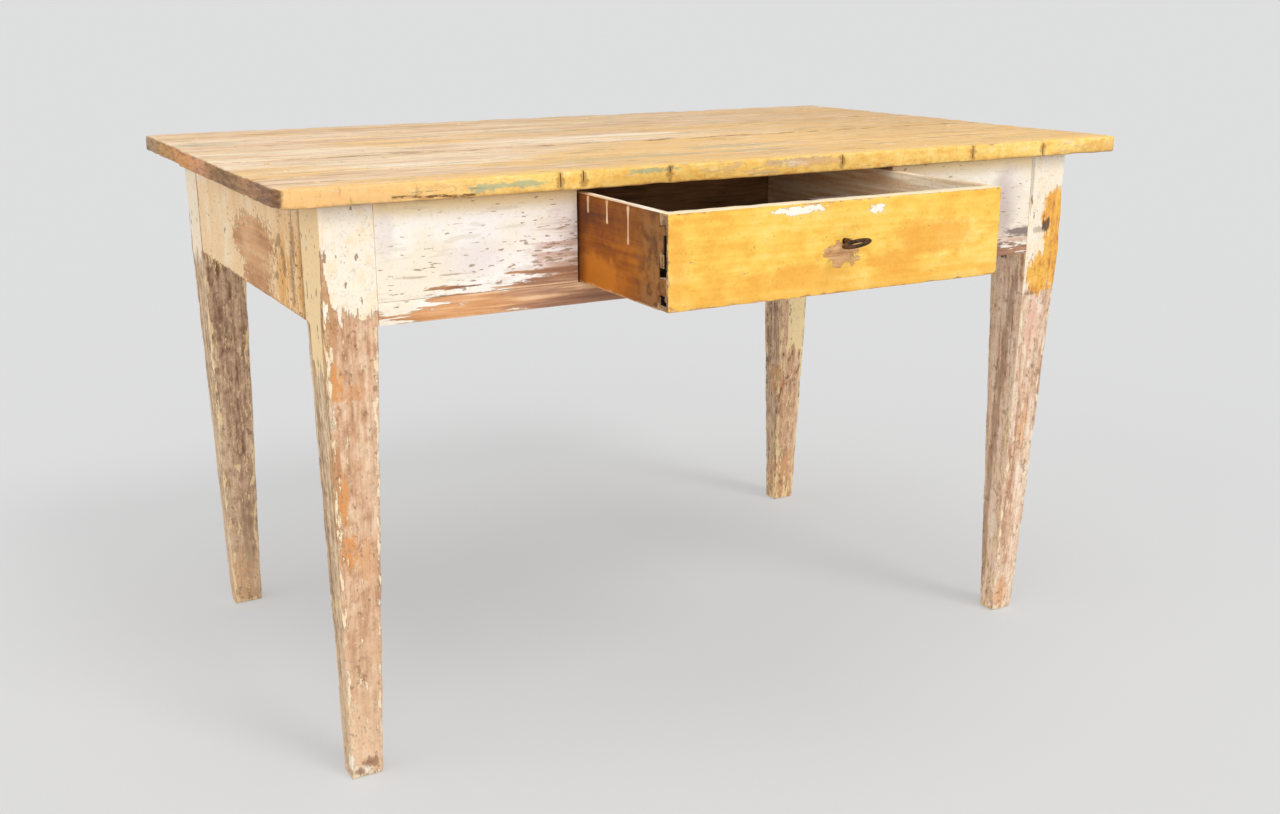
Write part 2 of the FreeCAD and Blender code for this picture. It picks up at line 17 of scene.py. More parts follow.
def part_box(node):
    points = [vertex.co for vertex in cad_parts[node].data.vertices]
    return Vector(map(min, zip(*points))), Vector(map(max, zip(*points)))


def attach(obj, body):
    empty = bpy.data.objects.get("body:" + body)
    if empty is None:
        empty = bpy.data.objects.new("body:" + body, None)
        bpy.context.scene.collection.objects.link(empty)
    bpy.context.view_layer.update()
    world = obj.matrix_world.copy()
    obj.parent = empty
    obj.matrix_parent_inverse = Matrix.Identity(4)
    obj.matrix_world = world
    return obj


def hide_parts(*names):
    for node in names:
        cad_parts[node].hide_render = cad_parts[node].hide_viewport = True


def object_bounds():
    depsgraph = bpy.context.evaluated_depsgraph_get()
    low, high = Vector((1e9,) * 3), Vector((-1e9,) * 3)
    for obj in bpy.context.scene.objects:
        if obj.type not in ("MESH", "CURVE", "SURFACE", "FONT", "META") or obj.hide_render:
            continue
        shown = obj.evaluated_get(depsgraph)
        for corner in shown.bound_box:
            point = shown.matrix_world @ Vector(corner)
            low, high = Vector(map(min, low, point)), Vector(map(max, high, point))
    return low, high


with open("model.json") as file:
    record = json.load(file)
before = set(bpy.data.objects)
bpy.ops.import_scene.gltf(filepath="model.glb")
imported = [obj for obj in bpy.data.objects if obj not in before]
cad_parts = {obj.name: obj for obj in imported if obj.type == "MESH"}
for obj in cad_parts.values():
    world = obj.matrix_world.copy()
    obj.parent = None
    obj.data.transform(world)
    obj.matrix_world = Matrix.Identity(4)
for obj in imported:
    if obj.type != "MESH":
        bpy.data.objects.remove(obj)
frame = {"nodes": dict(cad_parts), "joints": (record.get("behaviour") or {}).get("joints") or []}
nodes = frame["nodes"]
cad_low, cad_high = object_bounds()
print(len(nodes), "pieces in the frame, size", [round(side, 3) for side in cad_high - cad_low])

# %% [markdown]
# The camera stands to the left of the table and a little above the top, and looks down on it. Its place and
# its turn were found by fitting the corners of the frame to the photograph, so they are given as they came
# out: a yaw from straight ahead towards the right, a pitch down and a very small roll. The lens follows
# from the focal length in pixels of the photograph.

# %% The camera
eye = Vector((-1.04343, -1.83020, 0.96574))
yaw, pitch, roll = (math.radians(angle) for angle in (28.86, -15.96, -0.20))
photo_width = 1280
focal_pixels = 1412.85


def deselect_all():
    """Leaves nothing selected, so that the next operator acts on what it adds alone."""
    bpy.ops.object.select_all(action="DESELECT")


deselect_all()
bpy.ops.object.camera_add()
camera = bpy.context.object
turn = Matrix.Rotation(-yaw, 4, "Z") @ Matrix.Rotation(math.pi / 2 + pitch, 4, "X")
camera.matrix_world = Matrix.Translation(eye) @ turn @ Matrix.Rotation(roll, 4, "Z")
camera.data.sensor_fit = "HORIZONTAL"
camera.data.lens = camera.data.sensor_width * focal_pixels / photo_width
camera.data.clip_end = 3000
scene = bpy.context.scene
scene.camera = camera
scene.view_settings.view_transform = "Standard"
print("lens", round(camera.data.lens, 2), "mm")

# %% [markdown]
# Everything that a material does is a small sum over noises and places. Wiring each Math node by hand would
# hide those sums, so one class wraps a socket and lets them be written as Python: `1 - mask * 0.5` adds its
# nodes by itself. Every other kind of node comes from the same `node` method.


# %% Sums over sockets
def both_ways(operation):
    """A Math operation as the method of an operator, and as its reflected form."""

    def forward(self, other):
        return self.math(operation, self, other)

    def reflected(self, other):
        return self.math(operation, other, self)

    return forward, reflected


class Signal:
    """A value on its way through the nodes of a material."""

    def __init__(self, tree, socket=None):
        self.tree = tree
        self.socket = socket

    def node(self, kind, settings=None, inputs=None, output=0):
        """Adds a node, sets it up, feeds its sockets and returns one of its outputs."""
        made = self.tree.nodes.new(kind)
        for name, value in (settings or {}).items():
            if name == "stops":
                self.set_stops(made.color_ramp.elements, value)
            else:
                setattr(made, name, value)
        for place, value in (inputs or {}).items():
            if isinstance(value, Signal):
                self.tree.links.new(value.socket, made.inputs[place])
            else:
                made.inputs[place].default_value = value
        return Signal(self.tree, made.outputs[output]) if len(made.outputs) else None

    @staticmethod
    def set_stops(elements, stops):
        while len(elements) < len(stops):
            elements.new(1.0)
        for element, (position, colour) in zip(elements, stops):
            element.position = position
            element.color = colour

    def math(self, operation, *values):
        return self.node("ShaderNodeMath", {"operation": operation}, dict(enumerate(values)))

    def vector(self, operation, other=None, output=0):
        inputs = {0: self} if other is None else {0: self, 1: other}
        return self.node("ShaderNodeVectorMath", {"operation": operation}, inputs, output)

    def __abs__(self):
        return self.math("ABSOLUTE", self)

    __add__, __radd__ = both_ways("ADD")
    __sub__, __rsub__ = both_ways("SUBTRACT")
    __mul__, __rmul__ = both_ways("MULTIPLY")
    __or__, __ror__ = both_ways("MAXIMUM")


# %% Small tools for masks and colours
def linear(colour):
    """A colour for a socket: one that is written as it looks, in steps of 255, is made linear."""
    if isinstance(colour, Signal):
        return colour
    return (*(((value / 255 + 0.055) / 1.055) ** 2.4 for value in colour), 1.0)


def rise(value, start, end):
    """Climbs smoothly from zero at start to one at end, where end may also be the lower number."""
    span = {"Value": value, "From Min": start, "From Max": end}
    return value.node("ShaderNodeMapRange", {"interpolation_type": "SMOOTHSTEP"}, span)


def mixed(share, first, second):
    """A colour that goes from the first to the second as share goes from zero to one."""
    inputs = {0: share, 6: linear(first), 7: linear(second)}
    return share.node("ShaderNodeMix", {"data_type": "RGBA"}, inputs, output=2)


def ramp(value, *stops):
    """A colour picked along a row of (place, colour) stops."""
    stops = [(place, linear(colour)) for place, colour in stops]
    return value.node("ShaderNodeValToRGB", {"stops": stops}, {0: value})


def axes(vector):
    """The three numbers of a vector."""
    first = vector.node("ShaderNodeSeparateXYZ", None, {0: vector})
    return [Signal(vector.tree, output) for output in first.socket.node.outputs]


def empty_tree(owner):
    """Gives a material or a world an empty node tree, and returns a signal to start from."""
    owner.use_nodes = True
    owner.node_tree.nodes.clear()
    return Signal(owner.node_tree)


# %% [markdown]
# A finish starts from two things that belong to the piece itself: where a point lies, and which way the
# wood faces there. A third one, the distance to the nearest arris, is stored on the mesh of each piece,
# because paint goes first where hands, knees and brooms rub. A coat of paint is laid over what is under it
# by a mask that says where it is gone, and the rim of each chip is a little darker, with dirt that gathers
# there and a painted shade of the step in the paint.

# %% Starting and ending a finish
# The colour of dirt, also the rims of the golden edge's chips, where it stands for dirt and painted shade.
dirt = (112, 82, 56)


class Surface:
    """What a finish can ask about the point that it colours."""

    def __init__(self, name, face=None):
        self.material = bpy.data.materials.new(name)
        self.face = face
        start = empty_tree(self.material)
        self.place = start.node("ShaderNodeTexCoord", output="Object")
        self.x, self.y, self.z = axes(self.place)
        self.facing_x, self.facing_y, self.facing_z = axes(start.node("ShaderNodeTexCoord", output="Normal"))
        self.arris = start.node("ShaderNodeAttribute", {"attribute_name": "arris"}, output="Fac")

    def noise(self, stretch, detail=3.0, roughness=0.55):
        """A soft noise, around one half, with that many patches to the metre along each axis."""
        stretched = self.place.vector("MULTIPLY", stretch)
        settings = {"Vector": stretched, "Scale": 1.0, "Detail": detail, "Roughness": roughness}
        return self.place.node("ShaderNodeTexNoise", None, settings)

    def grain(self, axis, along=(3, 6, 14), across=(40, 130, 460)):
        """The broad bands, the streaks and the fibres of wood that grew along one axis."""
        stretches = [[far if i == axis else near for i in range(3)] for far, near in zip(along, across)]
        return [self.noise(stretch, 5, 0.6) for stretch in stretches]

    def patches(self, areas, rough, raggedness=0.8, blur=0.06):
        """One inside any of some egg-shaped areas, with borders that the noise called rough tears.

        An area is its middle and its reach: six numbers, or four on the face (axis, place, depth).
        """
        whole = None
        for area in areas:
            half = len(area) // 2
            centre, reach = list(area[:half]), list(area[half:])
            if half == 2:
                axis, place, depth = self.face
                centre.insert(axis, place)
                reach.insert(axis, depth)
            away = self.place.vector("SUBTRACT", centre).vector("DIVIDE", reach)
            torn = away.vector("LENGTH", output="Value") + (rough - 0.5) * raggedness * 4
            inside = rise(torn, 1 + blur, 1 - blur)
            whole = whole | inside if whole else inside
        return whole

    def soiled(self, colour, amount):
        """A colour with fine specks of dirt in it."""
        specks = self.noise((240, 240, 240), 5, 0.7)
        return mixed(rise(specks, 0.50, 0.72) * amount, colour, dirt)

    def lay(self, colour, roughness, height, relief, metallic=0.0, gloss=0.35):
        """Ends the finish with its colour, its roughness and a relief that deep, in metres."""
        bump = colour.node("ShaderNodeBump", None, {"Distance": relief, "Height": height})
        values = {"Base Color": colour, "Roughness": roughness, "Metallic": metallic, "Normal": bump}
        values["Specular IOR Level"] = gloss
        shader = colour.node("ShaderNodeBsdfPrincipled", None, values)
        colour.node("ShaderNodeOutputMaterial", None, {"Surface": shader})
        return self.material


def coat(under, paint, gone, rim, amount):
    """Paint over what is under it, gone where the mask is one; chip rims get dirt and painted shade."""
    border = rise(gone, 0.02, 0.4) * rise(gone, 0.98, 0.6)
    return mixed(border * amount, mixed(gone, paint, under), rim)


# %% [markdown]
# The floor and the background of a studio are one pale sheet. The table's shadow on it is faint, because
# the light comes from all round, so the floor shows the camera partly its own flat grey and partly the
# light that really falls on it. Wide suns stand for large lamps overhead, in front and at the left. A
# smaller one in front, a little to the right, gives each foot its short shadow, and the sky is the room.

# %% The floor and the room
backdrop = linear((222, 222, 222))
floor_paper = linear((219, 219, 219))
room_light = (0.98, 0.99, 1.0, 1.0)
floor_size = 1600
flat_share = 0.50


def seen_directly(start):
    """One for the camera's own rays and for what gloss or glass shows, zero for the light in the room."""
    kinds = ("Camera", "Glossy", "Transmission")
    camera_ray, glossy_ray, glass_ray = (
        start.node("ShaderNodeLightPath", output=f"Is {kind} Ray") for kind in kinds
    )
    return camera_ray | glossy_ray | glass_ray


deselect_all()
bpy.ops.mesh.primitive_plane_add(size=floor_size)
floor = bpy.context.object
floor.name = "studio_floor"
floor_finish = bpy.data.materials.new("studio_floor_paper")
start = empty_tree(floor_finish)
paper = start.node("ShaderNodeBsdfDiffuse", None, {"Color": floor_paper})
glow = start.node("ShaderNodeEmission", None, {"Color": backdrop})
sheet = start.node("ShaderNodeMixShader", None, {0: seen_directly(start) * flat_share, 1: paper, 2: glow})
start.node("ShaderNodeOutputMaterial", None, {"Surface": sheet})
floor.data.materials.append(floor_finish)

scene.world = bpy.data.worlds.new("studio_room")
start = empty_tree(scene.world)
room = start.node("ShaderNodeBackground", None, {"Color": room_light, "Strength": 0.46})
wall = start.node("ShaderNodeBackground", None, {"Color": backdrop, "Strength": 1.0})
around = start.node("ShaderNodeMixShader", None, {0: seen_directly(start), 1: room, 2: wall})
start.node("ShaderNodeOutputWorld", None, {"Surface": around})
print("a floor", floor_size, "m wide")

# %% The lamps: which way each one stands, its strength, and its width in degrees
lamps = {
    "overhead_lamp": ((-0.10, -0.10, 1.0), 0.58, 40),
    "front_lamp": ((-0.25, -1.0, 0.36), 0.85, 50),
    "left_lamp": ((-1.0, -0.15, 0.30), 0.88, 60),
    "small_lamp": ((0.37, -0.92, 1.05), 1.0, 20),
}
for name, (towards, strength, width) in lamps.items():
    deselect_all()
    bpy.ops.object.light_add(type="SUN")
    lamp = bpy.context.object
    lamp.name = name
    lamp.rotation_euler = Vector(towards).to_track_quat("Z", "Y").to_euler()
    lamp.data.energy = strength
    lamp.data.angle = math.radians(width)
print(len(lamps), "lamps")

# %% [markdown]
# A board starts as a cube of the right size. Its edges are beveled first and it is sliced afterwards,
# because slices that run across the bevels give the wear its own points to move. The distance of every
# point to the nearest arris is measured while the shape is still exact, as a number for the paint and a
# weight for the wear.


# %% Blanks: cubes that are eased and sliced
def pick(piece):
    """Selects one piece alone and makes it the active one."""
    deselect_all()
    piece.select_set(True)
    bpy.context.view_layer.objects.active = piece


@contextmanager
def editing(piece):
    """Edit mode on one piece alone."""
    pick(piece)
    bpy.ops.object.mode_set(mode="EDIT")
    yield
    bpy.ops.object.mode_set(mode="OBJECT")


def settled():
    """The piece that was just added, with its place moved into its mesh."""
    bpy.ops.object.transform_apply(location=True, rotation=True, scale=True)
    return bpy.context.object


def add_block(name, low, high):
    """A block between two corners."""
    deselect_all()
    bpy.ops.mesh.primitive_cube_add(size=1, location=(low + high) / 2, scale=high - low)
    block = settled()
    block.name = name
    return block


def choose_all():
    bpy.ops.mesh.select_all(action="SELECT")


def choose(piece, kind, test):
    """Selects the vertices, edges or faces that pass a test, and nothing else."""
    bpy.ops.mesh.select_mode(type=kind)
    bpy.ops.mesh.select_all(action="DESELECT")
    mesh = bmesh.from_edit_mesh(piece.data)
    for element in {"VERT": mesh.verts, "EDGE": mesh.edges, "FACE": mesh.faces}[kind]:
        if test(element):
            element.select_set(True)
    bmesh.update_edit_mesh(piece.data)


def bevel(width, segments):
    bpy.ops.mesh.bevel(offset=width, segments=segments, affect="EDGES")


def ease(piece, width, segments=3):
    """Rounds every sharp edge of a blank."""
    choose(piece, "EDGE", lambda edge: edge.calc_face_angle(0) > 1)
    bevel(width, segments)


def bisect(axis, place):
    """Cuts every face along a plane across one axis."""
    point = [0, 0, 0]
    normal = [0, 0, 0]
    point[axis] = place
    normal[axis] = 1
    choose_all()
    bpy.ops.mesh.bisect(plane_co=point, plane_no=normal)


def slice_along(piece, axis, step):
    """Halves the edges that run along an axis until none is much longer than one step."""

    def long_run(edge):
        span = edge.verts[1].co - edge.verts[0].co
        return abs(span[axis]) > 0.9 * span.length and span.length > 1.4 * step

    choose(piece, "EDGE", long_run)
    while any(edge.select for edge in bmesh.from_edit_mesh(piece.data).edges):
        bpy.ops.mesh.subdivide(number_cuts=1)
        choose(piece, "EDGE", long_run)


def round_corner(piece, corner, inwards, radius):
    """Rounds one upright arris, after two cuts that part the corner from the rest of the block."""
    for axis in range(2):
        bisect(axis, corner[axis] + inwards[axis] * radius * 1.2)
    flat = Vector(corner)
    choose(piece, "EDGE", lambda edge: all((vertex.co.xy - flat).length < 1e-5 for vertex in edge.verts))
    bevel(radius, 5)


def note_arrises(piece, limits, reach):
    """Stores each point's distance to the nearest arris, and a weight that fades out over reach."""
    group = piece.vertex_groups.new(name="edge_wear")
    distances = []
    for vertex in piece.data.vertices:
        low, high = limits(vertex.co)
        depths = sorted(min(vertex.co[i] - low[i], high[i] - vertex.co[i]) for i in range(3))
        distances.append(max(0.0, depths[1]))
        group.add([vertex.index], max(0.0, 1 - depths[1] / reach) ** 2, "REPLACE")
    attribute = piece.data.attributes.new("arris", "FLOAT", "POINT")
    attribute.data.foreach_set("value", distances)


# %% [markdown]
# Wear only takes wood away. The Displace modifier moves points along their normals by a noise, and with its
# middle level at one it can only sink them. Used all over, with the noise drawn out along the grain, it
# gives the shallow waves of a hand plane. Used on the arrises alone, with a harder noise, it gives dents
# and chips.

# %% Wear and joining tools
wave_size = 0.05
dent_size = 0.012
dent_hardness = 3.0


def apply_modifier(piece, modifier):
    bpy.context.view_layer.objects.active = piece
    bpy.ops.object.modifier_apply(modifier=modifier.name)


def remove(thing):
    pick(thing)
    bpy.ops.object.delete()


def carve(piece, depth, size, drawn, group="", hardness=1.0, keep=0.0):
    """Sinks the surface by at most depth, in patches of that size drawn out along the grain."""
    clouds = bpy.data.textures.new(f"{piece.name}_wear", "CLOUDS")
    clouds.noise_scale = size
    clouds.noise_depth = 2
    clouds.contrast = hardness
    clouds.intensity = 1 + keep
    clouds.use_clamp = True
    deselect_all()
    bpy.ops.object.empty_add()
    grain = bpy.context.object
    grain.scale = drawn
    bpy.context.view_layer.update()
    wear = piece.modifiers.new("wear", "DISPLACE")
    wear.texture = clouds
    wear.texture_coords = "OBJECT"
    wear.texture_coords_object = grain
    wear.mid_level = 1.0
    wear.strength = depth
    wear.vertex_group = group
    apply_modifier(piece, wear)
    remove(grain)


def cut_with(piece, cutter, operation="DIFFERENCE"):
    """Cuts a piece with another, or joins the two, and takes the other away."""
    boolean = piece.modifiers.new("cut", "BOOLEAN")
    boolean.operation = operation
    boolean.object = cutter
    boolean.solver = "EXACT"
    apply_modifier(piece, boolean)
    remove(cutter)


def soften(piece, angle=35):
    pick(piece)
    bpy.ops.object.shade_smooth_by_angle(angle=math.radians(angle))


def stand_in(piece, node, body, material):
    """Puts a modelled piece in the place of a solid of the frame."""
    piece.data.materials.clear()
    piece.data.materials.append(material)
    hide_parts(node)
    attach(piece, body)
    print(piece.name, len(piece.data.polygons), "faces")


def board(node, low, high, eased, chips, grain, step=0.0075, waves=0.0004, rounded=()):
    """A worn board between two corners, with waves of the plane along its grain and dented arrises."""
    piece = add_block(f"{node}_worn", low, high)
    with editing(piece):
        for corner, inwards, radius in rounded:
            round_corner(piece, corner, inwards, radius)
        ease(piece, eased)
        for axis in range(3):
            slice_along(piece, axis, step)
    note_arrises(piece, lambda point: (low, high), 4 * eased)
    wave_draw, dent_draw = ([draw if axis == grain else 1 for axis in range(3)] for draw in (7, 2.5))
    carve(piece, waves, wave_size, wave_draw)
    carve(piece, chips, dent_size, dent_draw, "edge_wear", dent_hardness, keep=0.35)
    soften(piece)
    return piece


# %% [markdown]
# ## The top
#
# Four softwood boards, scrubbed pale, with streaks of every coat that they once had. The front edge still
# holds most of its golden yellow, and the sawn ends are end grain, dark with dirt. One finish serves all
# four boards, because it works out from the facing of the wood which of these it has to be.

# %% The marks of the top
front_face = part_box("top_board_1")[0].y
_, back_face, top_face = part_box("top_board_4")[1]
tick_marks = (
    (-0.296, 0.15, 1.0), (-0.265, 0.35, 1.0), (-0.143, 0.5, 1.0),
    (0.126, 0.3, 1.0), (0.356, 0.2, 0.9), (0.490, 0.1, 0.8),
)
split_start = Vector((-0.509, front_face, 0.7530))
split_end = Vector((-0.408, front_face, 0.7490))
print(len(tick_marks), "knife marks and a split of", round((split_end - split_start).length, 3), "m")


# %% The finish of the top
def scrubbed_boards(at, clouds, marks):
    """The upper face: pale scrubbed wood with streaks of its old coats, short dashes and dirty seams."""
    at.face = (2, top_face, 0.05)
    bands, streaks, fibres = at.grain(0, (1.6, 5, 14), (20, 62, 230))
    wood = ramp(
        bands * 0.4 + streaks * 0.4 + fibres * 0.2, (0.41, (212, 166, 126)), (0.47, (236, 200, 156)),
        (0.52, (246, 218, 180)), (0.58, (253, 236, 208)),
    )
    rosy = rise(at.noise((2.4, 46, 46), 5), 0.49, 0.60)
    wood = mixed(rosy * 0.40, wood, (230, 190, 160))
    worked_side = rise(at.x * 0.8 - at.y + (clouds - 0.5) * 0.3, -0.26, 0.10)
    golden = rise(clouds + worked_side * 0.20 + (streaks - 0.5) * 0.9, 0.54, 0.68)
    wood = mixed(worked_side * 0.42, wood, (222, 178, 116))
    wood = mixed(golden * 0.65, wood, (243, 192, 104))
    back_right = rise(at.x * 0.5 + at.y + (clouds - 0.5) * 0.5, 0.05, 0.55)
    wood = mixed(back_right * 0.6, wood, (202, 162, 112))
    stains = at.patches([
        (-0.16, -0.17, 0.14, 0.014), (0.055, -0.10, 0.08, 0.018), (-0.08, 0.246, 0.10, 0.012),
        (-0.59, 0.30, 0.05, 0.03), (0.04, -0.175, 0.05, 0.012),
    ], streaks, 0.8, 0.3)
    grey_dashes = rise(at.noise((6.5, 84, 84), 6, 0.62), 0.555, 0.62)
    wood = mixed((grey_dashes * 0.42) | (stains * 0.5), wood, (184, 172, 140))
    white = at.patches([(0.0, 0.125, 0.09, 0.016)], streaks, 0.7)
    pale_dashes = rise(at.noise((9, 104, 104), 6, 0.64), 0.565, 0.62)
    wood = mixed((white * 0.7) | (pale_dashes * 0.5), wood, (253, 239, 216))
    dark_dashes = rise(at.noise((14, 120, 120), 5, 0.6), 0.595, 0.645)
    dash = at.patches([(-0.017, 0.243, 0.026, 0.006)], streaks, 0.4)
    scratches = rise(at.noise((7, 460, 90), 4), 0.36, 0.28)
    dents = rise(at.noise((60, 90, 90), 3, 0.5), 0.70, 0.73)
    marked = (dark_dashes * 0.55) | (dash * 0.85) | (scratches * 0.3) | (dents * 0.55)
    wood = mixed(marked, wood, (142, 104, 70))
    seams = rise(at.arris, 0.0034, 0.0010) * rise(marks, 0.34, 0.56)
    wood = mixed(seams * 0.65, wood, (146, 106, 72))
    height = fibres * 0.5 + streaks * 0.5 - dark_dashes * 0.3 - scratches * 0.3 - dents * 0.6
    return wood, streaks, height


def golden_edge(at, wood, clouds, marks):
    """The front edge: golden yellow with older green, rubbed places, knife marks and a split."""
    at.face = (1, front_face, 0.02)
    paint = ramp(
        marks * 0.6 + clouds * 0.4, (0.41, (244, 186, 92)), (0.48, (252, 204, 106)),
        (0.54, (255, 214, 122)), (0.61, (255, 226, 152)),
    )
    paint = mixed(rise(at.x + (clouds - 0.5) * 0.4, -0.28, -0.52) * 0.7, paint, (244, 188, 130))
    worn = rise(at.noise((16, 16, 90), 7, 0.66), 0.575, 0.605)
    pale = at.patches([(0.065, 0.762, 0.06, 0.006)], marks)
    edge = coat(wood, paint, worn | pale, dirt, 0.2)
    torn = at.noise((90, 40, 160), 6, 0.65)
    old_green = at.patches([
        (-0.395, 0.757, 0.022, 0.005), (-0.345, 0.758, 0.026, 0.004), (-0.17, 0.764, 0.03, 0.003),
    ], torn, 1.1, 0.3)
    edge = mixed(old_green * 0.65, edge, (150, 176, 146))
    brown_end = at.patches([(0.62, 0.754, 0.05, 0.012)], torn, 0.9, 0.4)
    edge = mixed(brown_end * 0.35, edge, (208, 142, 74))
    cuts = at.patches([(x, 0.758, 0.005, 0.011) for x, _, _ in tick_marks], torn, 0.9, 0.4)
    ticks = rise(at.noise((150, 20, 30), 5, 0.6), 0.63, 0.67)
    along_split = [split_start.lerp(split_end, share) for share in (0.17, 0.5, 0.83)]
    split = at.patches([(place.x, place.z, 0.022, 0.0022) for place in along_split], torn, 0.5)
    # Darker towards the lower arris of the front edge: dirt, and painted shade along the arris.
    low_edge_dirt_and_shade = rise(at.z + (marks - 0.5) * 0.016, 0.7510, 0.7470)
    edge = mixed((ticks * 0.28) | (cuts * 0.6) | (low_edge_dirt_and_shade * 0.3), edge, (150, 100, 52))
    return mixed(split * rise(torn, 0.42, 0.54) * 0.8, edge, (104, 66, 38))


def sawn_ends(at, clouds):
    """The end grain, dark with dirt at the front and orange-brown at the back."""
    rings = at.noise((60, 45, 260), 6, 0.65)
    sawn = ramp(
        (at.y + 0.3 + (clouds - 0.5) * 0.2) * 1.2, (0.02, (120, 80, 50)), (0.22, (178, 130, 86)),
        (0.35, (138, 102, 54)), (0.44, (214, 150, 104)), (0.62, (218, 148, 80)),
        (0.84, (186, 140, 78)), (0.97, (158, 132, 114)),
    )
    sawn = mixed(rise(rings, 0.50, 0.40) * 0.55, sawn, (88, 60, 40))
    return mixed(rise(rings, 0.54, 0.64) * 0.4, sawn, (212, 168, 116))


def top_finish():
    at = Surface("worn_top")
    clouds = at.noise((3, 7, 7), 4)
    marks = at.noise((55, 90, 90), 7, 0.68)
    wood, streaks, height = scrubbed_boards(at, clouds, marks)
    edge = golden_edge(at, wood, clouds, marks)
    lip = rise(at.y - front_face + (marks - 0.5) * 0.12 + (streaks - 0.5) * 0.05, 0.034, 0.010)
    outward = rise(at.facing_y + (marks - 0.5) * 0.5, -0.30, -0.60) * rise(at.y - front_face, 0.02, 0.008)
    at_back = rise(at.facing_y, 0.4, 0.7) * rise(back_face - at.y, 0.02, 0.008)
    in_seam = rise(abs(at.facing_y), 0.6, 0.9) * (1 - outward) * (1 - at_back)
    colour = mixed(in_seam, wood, (112, 80, 54))
    colour = mixed(outward | (lip * 0.75) | at_back, colour, edge)
    colour = mixed(rise(abs(at.facing_x) + (marks - 0.5) * 0.5, 0.64, 0.84), colour, sawn_ends(at, clouds))
    raw = ramp(streaks, (0.40, (150, 112, 78)), (0.60, (198, 160, 120)))
    colour = mixed(rise(at.facing_z, -0.55, -0.8), colour, raw)
    colour = at.soiled(colour, 0.2)
    return at.lay(colour, 0.60 + (streaks - 0.5) * 0.5, height, 0.0006)


top_paint = top_finish()
print("finish of the top:", len(top_paint.node_tree.nodes), "nodes")

# %% [markdown]
# The boards lie side by side with a hair between them. Each has shrunk and settled by its own fraction of a
# millimetre, so its upper face is let down a little: that is what makes the seams show on an old top. The
# back board ends a little short at the left, and the front left corner is worn round. The knife marks in
# the front edge and the long split in it are real cuts, made by thin wedges.

# %% The boards of the top
top_settling = {"top_board_1": 0.0003, "top_board_2": 0.0009, "top_board_3": 0.0004, "top_board_4": 0.0007}
back_board_short = 0.004
corner_radius = 0.011
worn_corner_radius = 0.026

boards = {}
for node, settling in top_settling.items():
    low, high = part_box(node)
    rounded = []
    if node == "top_board_1":
        rounded = [((low.x, low.y), (1, 1), worn_corner_radius), ((high.x, low.y), (-1, 1), corner_radius)]
    if node == "top_board_4":
        low.x += back_board_short
        rounded = [((low.x, high.y), (1, -1), corner_radius), ((high.x, high.y), (-1, -1), corner_radius)]
    high.z -= settling
    boards[node] = board(node, low, high, eased=0.003, chips=0.0020, grain=0, waves=0.0005, rounded=rounded)

# %% The knife marks and the split
tick_width = 0.0022
tick_depth = 0.0026
split_depth = 0.0016
split_width = 0.0018
split_step = 0.008

front_board = boards["top_board_1"]
low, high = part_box("top_board_1")
thickness = high.z - low.z
for x, start_share, end_share in tick_marks:
    start = Vector((x - tick_width / 2, low.y - tick_depth, low.z + start_share * thickness))
    end = Vector((x + tick_width / 2, low.y + tick_depth, low.z + end_share * thickness + tick_depth))
    wedge = add_block("knife_mark", start, end)
    with editing(wedge):
        choose(wedge, "FACE", lambda face: face.normal.y > 0.9)
        bpy.ops.transform.resize(value=(0.2, 1, 0.8))
    cut_with(front_board, wedge)
reach = Vector((0, split_depth, split_width / 2))
level_end = Vector((split_end.x, split_start.y, split_start.z))
splinter = add_block("split", split_start - reach, level_end + reach)
with editing(splinter):
    choose(splinter, "VERT", lambda vertex: vertex.co.x > split_end.x - 0.001)
    bpy.ops.transform.translate(value=(0, 0, split_end.z - split_start.z))
    slice_along(splinter, 0, split_step)
    choose_all()
    bpy.ops.transform.vertex_random(offset=split_width / 2, seed=5)
cut_with(front_board, splinter)
soften(front_board)

for node, piece in boards.items():
    stand_in(piece, node, "frame", top_paint)

# %% [markdown]
# ## The legs
#
# A leg is square where the aprons are joined into it and tapers below, by hand and by eye, so each foot
# stands in by its own amounts. The paint holds on the heads and has gone from most of the taper, down to a
# pinkish wood with orange remains of an older coat. One finish serves all four legs, and a look for each of
# them says which wood it is, how far down the cream reaches, and where the remains are.


# %% The finish of a leg
pink_wood = ((184, 134, 98), (218, 174, 138), (239, 206, 174))
peach_wood = ((184, 138, 108), (230, 194, 164), (247, 228, 208))
tan_wood = ((132, 100, 70), (206, 172, 136), (240, 212, 174))
brown_wood = ((128, 95, 71), (197, 161, 130), (233, 203, 170))
rosy_wood = ((198, 154, 122), (246, 211, 180), (254, 234, 211))
white_cream, yellow_cream, pale_cream = (252, 240, 220), (254, 220, 164), (254, 234, 204)
old_orange, old_tan, old_pink = (224, 152, 84), (196, 142, 92), (232, 172, 146)
dark_brown, mid_brown = (86, 56, 38), (138, 94, 64)


